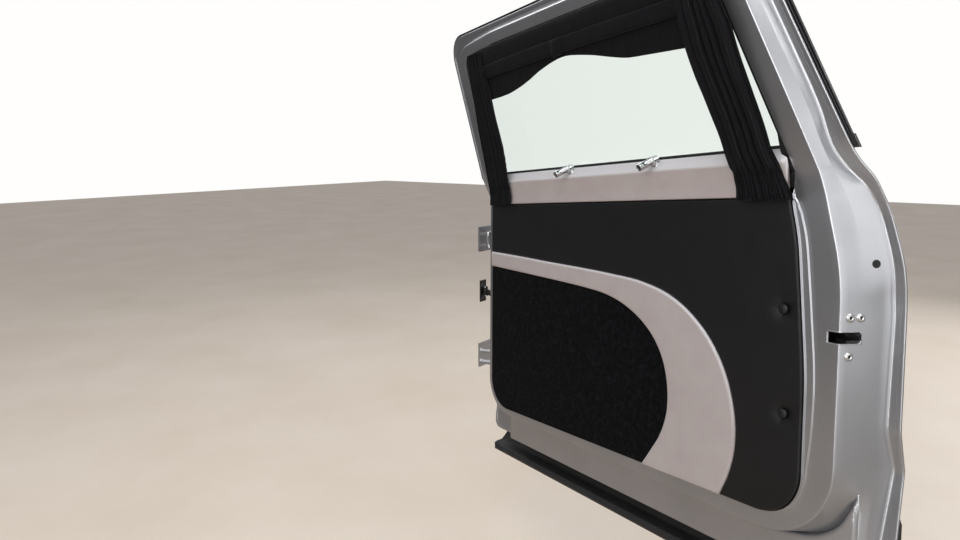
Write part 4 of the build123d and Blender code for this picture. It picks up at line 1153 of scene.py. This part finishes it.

# Sockets for the curtain rods: a thick chromed tube with a collar, turned from bar, on a round
# foot that is screwed to the ledge. Each has an open mouth, with a dark steel disc just inside it
# that paints the shade deep in the tube.
SOCKET_OUT = Vector((0.0, cos(radians(24.0)), -sin(radians(24.0))))
FOOT_UP = Vector((0.0, 1.0, 1.0)).normalized()
TUBE = (
    (-27.0, 0.0), (-26.9, 5.3), (-0.8, 5.3), (0.0, 5.9), (0.1, 6.7), (-0.5, 7.4), (-1.6, 7.6), (-33.0, 7.6),
    (-33.4, 8.6), (-34.2, 9.6), (-39.6, 9.6), (-40.4, 8.6), (-40.8, 7.6), (-52.0, 7.6), (-53.7, 7.2),
    (-54.9, 6.2), (-55.5, 4.6), (-55.7, 0.0),
)
# Painted shade: a dark disc just inside the tube's mouth stands for the shade deep in the tube.
BORE_SHADE = ((-4.0, 5.25), (-2.6, 5.25), (-2.3, 4.9), (-2.2, 0.0))
FOOT = ((0.0, 10.5), (1.6, 10.5), (2.6, 9.6), (3.2, 7.4), (5.0, 6.2), (12.0, 5.6), (14.0, 5.0))

# Chrome: nickel and chromium plate over polished metal. It is a near mirror with a slightly
# uneven shine.
tree, place = new_finish("chrome", "chrome")
shine = add_node(tree, "TexNoise", {"Vector": place, "Scale": every(3.125), "Detail": 3.0})
ripple = add_node(tree, "TexNoise", {"Vector": place, "Scale": every(14.29), "Detail": 1.0})
surface(tree, Base_Color=tone("#cbcdce"), Metallic=1.0,
        Roughness=add_node(tree, "MapRange", {"Value": shine, "To Min": 0.05, "To Max": 0.14}),
        Normal=add_node(tree, "Bump", {"Height": ripple, "Distance": 0.02 * MM}))

# Dark steel: plain steel with a thin dark oxide and oil. It is brownish black with brighter
# rubbed patches.
tree, place = new_finish("dark_steel", "dark_steel")
oxide = add_node(tree, "TexNoise", {"Vector": place, "Scale": every(7.143), "Detail": 5.0, "Roughness": 0.7})
oily = add_node(tree, "TexNoise", {"Vector": place, "Scale": every(2.0), "Detail": 3.0})
scale = add_node(tree, "TexNoise", {"Vector": place, "Scale": every(1.111)})
surface(tree, Metallic=0.85, Normal=add_node(tree, "Bump", {"Height": scale, "Distance": 0.04 * MM}),
        Base_Color=add_node(tree, "ValToRGB", {"Fac": oxide}, stops=((0.35, "#2f2f2f"), (0.7, "#525252"))),
        Roughness=add_node(tree, "MapRange", {"Value": oily, "To Min": 0.32, "To Max": 0.55}))

for name in ("ledge_socket_front", "ledge_socket_rear"):
    node = frame["nodes"][name]
    to_drawing = OPEN_DOOR.inverted() @ node.matrix_world
    points = [to_drawing @ v.co for v in node.data.vertices]
    reach = max(p.dot(SOCKET_OUT) for p in points)
    rim = [p for p in points if p.dot(SOCKET_OUT) > reach - 0.05]
    mouth = sum(rim, Vector()) / len(rim) + SOCKET_OUT * 15.0 - Vector((24.0, 0.0, 0.0))
    tube = revolved(name + "_tube", TUBE, mouth, SOCKET_OUT)
    # The dark disc inside the mouth is painted shade.
    bore_shade = revolved(name + "_bore", BORE_SHADE, mouth, SOCKET_OUT, 20)
    foot = revolved(name + "_foot", FOOT, mouth - SOCKET_OUT * 44.0 - FOOT_UP * 15.0, FOOT_UP)
    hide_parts(name)
    dress("chrome", tube, foot)
    dress("dark_steel", bore_shade)

# Latch screws: zinc-plated low domes with a round drive socket. They hold the latch body from
# outside, through the rear shut face. A dark steel disc in each drive socket is painted shade.
SCREWS = ((-20.0, 319.0), (-37.0, 319.0), (-20.0, 256.5))
SCREW_HEAD = (
    (-1.0, 7.5), (0.5, 7.6), (1.3, 7.3), (2.1, 6.4), (2.8, 4.9), (3.05, 3.7), (2.8, 3.0), (1.0, 2.8),
    (0.9, 0.0),
)
# Painted shade: a dark disc set low in each drive socket.
SCREW_SOCKET_SHADE = ((0.9, 2.75), (1.35, 2.75), (1.4, 0.0))
WALL_OUT = Vector((-1.0, DRAFT, 0.0)).normalized()

# Zinc: steel plated with bright zinc, as on fasteners. It is a pale, slightly mottled metal.
tree, place = new_finish("zinc", "zinc")
spangle = add_node(tree, "TexNoise", {"Vector": place, "Scale": every(2.381), "Detail": 4.0, "Roughness": 0.7})
haze = add_node(tree, "TexNoise", {"Vector": place, "Scale": every(1.25)})
surface(tree, Metallic=1.0,
        Roughness=add_node(tree, "MapRange", {"Value": haze, "To Min": 0.18, "To Max": 0.32}),
        Base_Color=add_node(tree, "ValToRGB", {"Fac": spangle}, stops=((0.3, "#cbcbca"), (0.7, "#e5e5e2"))))

for i, (y, z) in enumerate(SCREWS):
    seat = rear_wall(-y, z)
    head = revolved(f"screw_head_{i + 1}", SCREW_HEAD, seat, WALL_OUT)
    # The dark disc in the socket is painted shade.
    socket_shade = revolved(f"screw_socket_shade_{i + 1}", SCREW_SOCKET_SHADE, seat, WALL_OUT, 12)
    if i == 0:
        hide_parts("latch_screws")
    dress("zinc", head)
    dress("dark_steel", socket_shade)

# Glass run seal: an extruded rubber channel round the window's pane, pushed into the pressing.
# It is open at the belt and broader behind the ledge's ends.
SEAL_W = 8.5
SEAL_BROAD = 7.0
SEAL_FROM = 522.0
seal_rows = []
for at, m in zip(inner_line, inner_out):
    if at.y <= SEAL_FROM:
        continue
    wide = SEAL_W + SEAL_BROAD * smooth_step((618.0 - at.y) / 20.0)
    section = ((0.3, 9.6), (wide, 9.6), (wide, 26.0), (6.5, 26.0), (6.5, 32.0), (wide, 32.0), (wide, 35.0),
               (0.3, 35.0))
    corners = [face(at.x - m.x * d, at.y - m.y * d, deep) for d, deep in section]
    seal_rows.append(rounded(corners, (0.8, 2.6, 0.8, 0, 0, 0.8, 0.8, 0), 4))
run_seal = loft("window_run", seal_rows)
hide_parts("glass_run_seal")
dress("rubber", run_seal)

# Edge plug: a round moulded rubber cap that closes an access hole in the rear shut face.
PLUG = ((-1.5, 6.7), (0.7, 6.7), (1.5, 6.3), (1.9, 5.4), (1.9, 4.6), (1.5, 4.1), (1.6, 2.0), (1.9, 0.0))
PLUG_Y = -61.0
PLUG_Z = 404.5
rear_sections = [k for k, p in enumerate(face_line) if p.x < REAR_SIDE]
near = min(rear_sections, key=lambda k: abs(sections[k][0].z - PLUG_Z))


def off_plug(p):
    return abs(p.y - PLUG_Y) + abs(p.z - PLUG_Z)


near = min(range(near - 12, near + 13), key=lambda r: min(off_plug(p) for p in sections[r]))
row = sections[near]
k = min(range(1, len(row) - 1), key=lambda k: off_plug(row[k]))
plug_out = (row[k + 1] - row[k - 1]).cross(sections[near + 1][k] - sections[near - 1][k]).normalized()
plug_out = plug_out if plug_out.x < 0.0 else -plug_out
plug_seat = Vector((row[k].x - plug_out.y / plug_out.x * (PLUG_Y - row[k].y), PLUG_Y, PLUG_Z))
plug = revolved("edge_plug_cap", PLUG, plug_seat, plug_out)
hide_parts("edge_plug")
dress("rubber", plug)

# Window glass: a toughened float pane, slightly green. It is clear, with a faint film of wiping.
tree, place = new_finish("glass", "window_glass")
film = add_node(tree, "TexNoise", {"Vector": place, "Scale": every(333.3), "Detail": 4.0, "Roughness": 0.6})
surface(tree, Base_Color=tone("#eff7f3"), Transmission_Weight=1.0, IOR=1.45,
        Roughness=add_node(tree, "MapRange", {"Value": film, "To Min": 0.004, "To Max": 0.03}))

# Surround moulding: hard plastic in gloss black lacquer. It reflects clearly and shows fine
# wiping marks.
tree, place = new_finish("black_trim", "gloss_black")
wiped = add_node(tree, "TexNoise", {"Vector": place, "Scale": every(16.67), "Detail": 4.0})
surface(tree, Base_Color=tone("#161618"), Coat_Weight=0.4, Coat_Roughness=0.05,
        Roughness=add_node(tree, "MapRange", {"Value": wiped, "To Min": 0.10, "To Max": 0.24}))

# The pieces kept as drawn: the pane and its surround, the seals and mouldings at the belt, the
# outer handle, hinges, latch and door check. Each has its own finish.
for part in frame["record"]["subparts"]:
    node = frame["nodes"][part["node"]]
    if not node.hide_render:
        dress(part["material_slot"], node)

# Camera: a wide lens at chest height, behind the open door and inboard of it.
CAMERA_PLACE = Vector((-1.7006, -1.2244, 0.2801))
CAMERA_AIM = Vector((0.7910, 0.5852, -0.1789))
camera_data = bpy.data.cameras.new("camera")
camera_data.lens = 25.99
camera_data.sensor_width = 36.0
camera_data.clip_start = 0.05
camera = bpy.data.objects.new("camera", camera_data)
bpy.context.scene.collection.objects.link(camera)
camera.location = CAMERA_PLACE
camera.rotation_mode = "QUATERNION"
camera.rotation_quaternion = CAMERA_AIM.to_track_quat("-Z", "Y")
bpy.context.scene.camera = camera

# Floor: pale sealed screed, worn unevenly. In the paint's reflections it carries painted shade that
# deepens with distance, standing in for the shade of the car's body.
FLOOR_DROP = 1.19          # the floor below the camera
FLOOR_SIZE = 30.0
MIRROR_REACH = 8.0         # metres over which the mirrored floor falls off
bpy.ops.mesh.primitive_plane_add(size=FLOOR_SIZE, location=(0, 0, CAMERA_PLACE.z - FLOOR_DROP))
floor = bpy.context.object
floor.name = "floor"
tree, place = new_finish("floor", "pale_floor")
stain = add_node(tree, "TexNoise", {"Vector": place, "Scale": every(625), "Detail": 6.0, "Roughness": 0.6})
tread = add_node(tree, "TexNoise", {"Vector": place, "Scale": every(250), "Detail": 5.0})
screed = add_node(tree, "ValToRGB", {"Fac": stain}, stops=((0.3, "#d9cbba"), (0.7, "#e3d6c8")))
away = add_node(tree, "VectorMath", {0: place}, "Value", operation="LENGTH")
share = add_node(tree, "Math", {0: away, 1: 1 / MIRROR_REACH}, operation="MULTIPLY")
# Painted shade: the floor seen in reflections is multiplied darker, more so farther away.
painted_reflection_shade = add_node(tree, "ValToRGB", {"Fac": share}, stops=(
    (0.0, "#b5afac"), (0.27, "#b5b3b2"), (0.40, "#adacac"), (0.62, "#555555"), (1.0, "#303030")))
in_mirror = add_node(tree, "LightPath", {}, "Is Glossy Ray")
shade = add_node(tree, "Mix", {"Factor": in_mirror, "A": screed, "B": painted_reflection_shade}, "Result", data_type="RGBA",
                 blend_type="MULTIPLY")
surface(tree, Base_Color=shade,
        Roughness=add_node(tree, "MapRange", {"Value": tread, "To Min": 0.42, "To Max": 0.58}))
floor.data.materials.append(LOOKS["floor"])

# White where the camera looks past the part or through its glass. As a light, a room that is
# dim at the horizon and brighter overhead.
world = bpy.data.worlds.new("studio")
bpy.context.scene.world = world
world.use_nodes = True
tree = world.node_tree
backdrop = add_node(tree, "Background", {"Color": tone("#fffefc"), "Strength": 1.0})
seen = add_node(tree, "Math", {0: add_node(tree, "LightPath", {}, "Is Camera Ray"),
                               1: add_node(tree, "LightPath", {}, "Is Transmission Ray")}, operation="MAXIMUM")
up = add_node(tree, "SeparateXYZ", {"Vector": add_node(tree, "TexCoord", {}, "Generated")}, "Z")
high = add_node(tree, "MapRange", {"Value": up, "From Min": -1.0})
sky = add_node(tree, "ValToRGB", {"Fac": high}, stops=(
    (0.0, "#958e86"), (0.50, "#5d5e5f"), (0.62, "#7c7c7e"), (1.0, "#e2e3e6")))
room = tree.nodes["Background"]
join(tree, room, {"Color": sky})
join(tree, tree.nodes["World Output"],
     {"Surface": add_node(tree, "MixShader", {0: seen, 1: room.outputs["Background"], 2: backdrop})})

# Lamps: strips under the roof, a wide window behind the camera, and soft fills at the sides.
LAMPS = (
    ("ceiling_strip", (-1.6, -1.6, 2.3), (-0.4, -0.8, 0.0), (3.2, 0.5), 27),
    ("rear_window", (-3.3, -4.6, 0.95), (-0.4, -0.9, 0.1), (6.0, 3.6), 82),
    ("ceiling_far", (1.5, 1.8, 2.4), (-0.2, -0.3, 0.5), (3.2, 1.0), 30),
    ("outer_fill", (3.6, -2.2, 1.4), (-0.3, -0.6, 0.1), (3.0, 2.4), 55),
    ("side_fill", (-3.9, 0.2, 1.3), (-0.5, -0.6, 0.0), (2.4, 2.0), 30),
    ("edge_light", (-3.9, -1.15, 0.5), (-0.5, -1.0, 0.1), (0.7, 3.0), 26),
)
for name, place, aim, size, watts in LAMPS:
    data = bpy.data.lights.new(name, "AREA")
    data.shape = "RECTANGLE"
    data.size, data.size_y = size
    data.energy = watts
    lamp = bpy.data.objects.new(name, data)
    bpy.context.scene.collection.objects.link(lamp)
    lamp.location = place
    lamp.rotation_mode = "QUATERNION"
    lamp.rotation_quaternion = (Vector(aim) - Vector(place)).to_track_quat("-Z", "Y")

bpy.context.scene.view_settings.view_transform = "Standard"
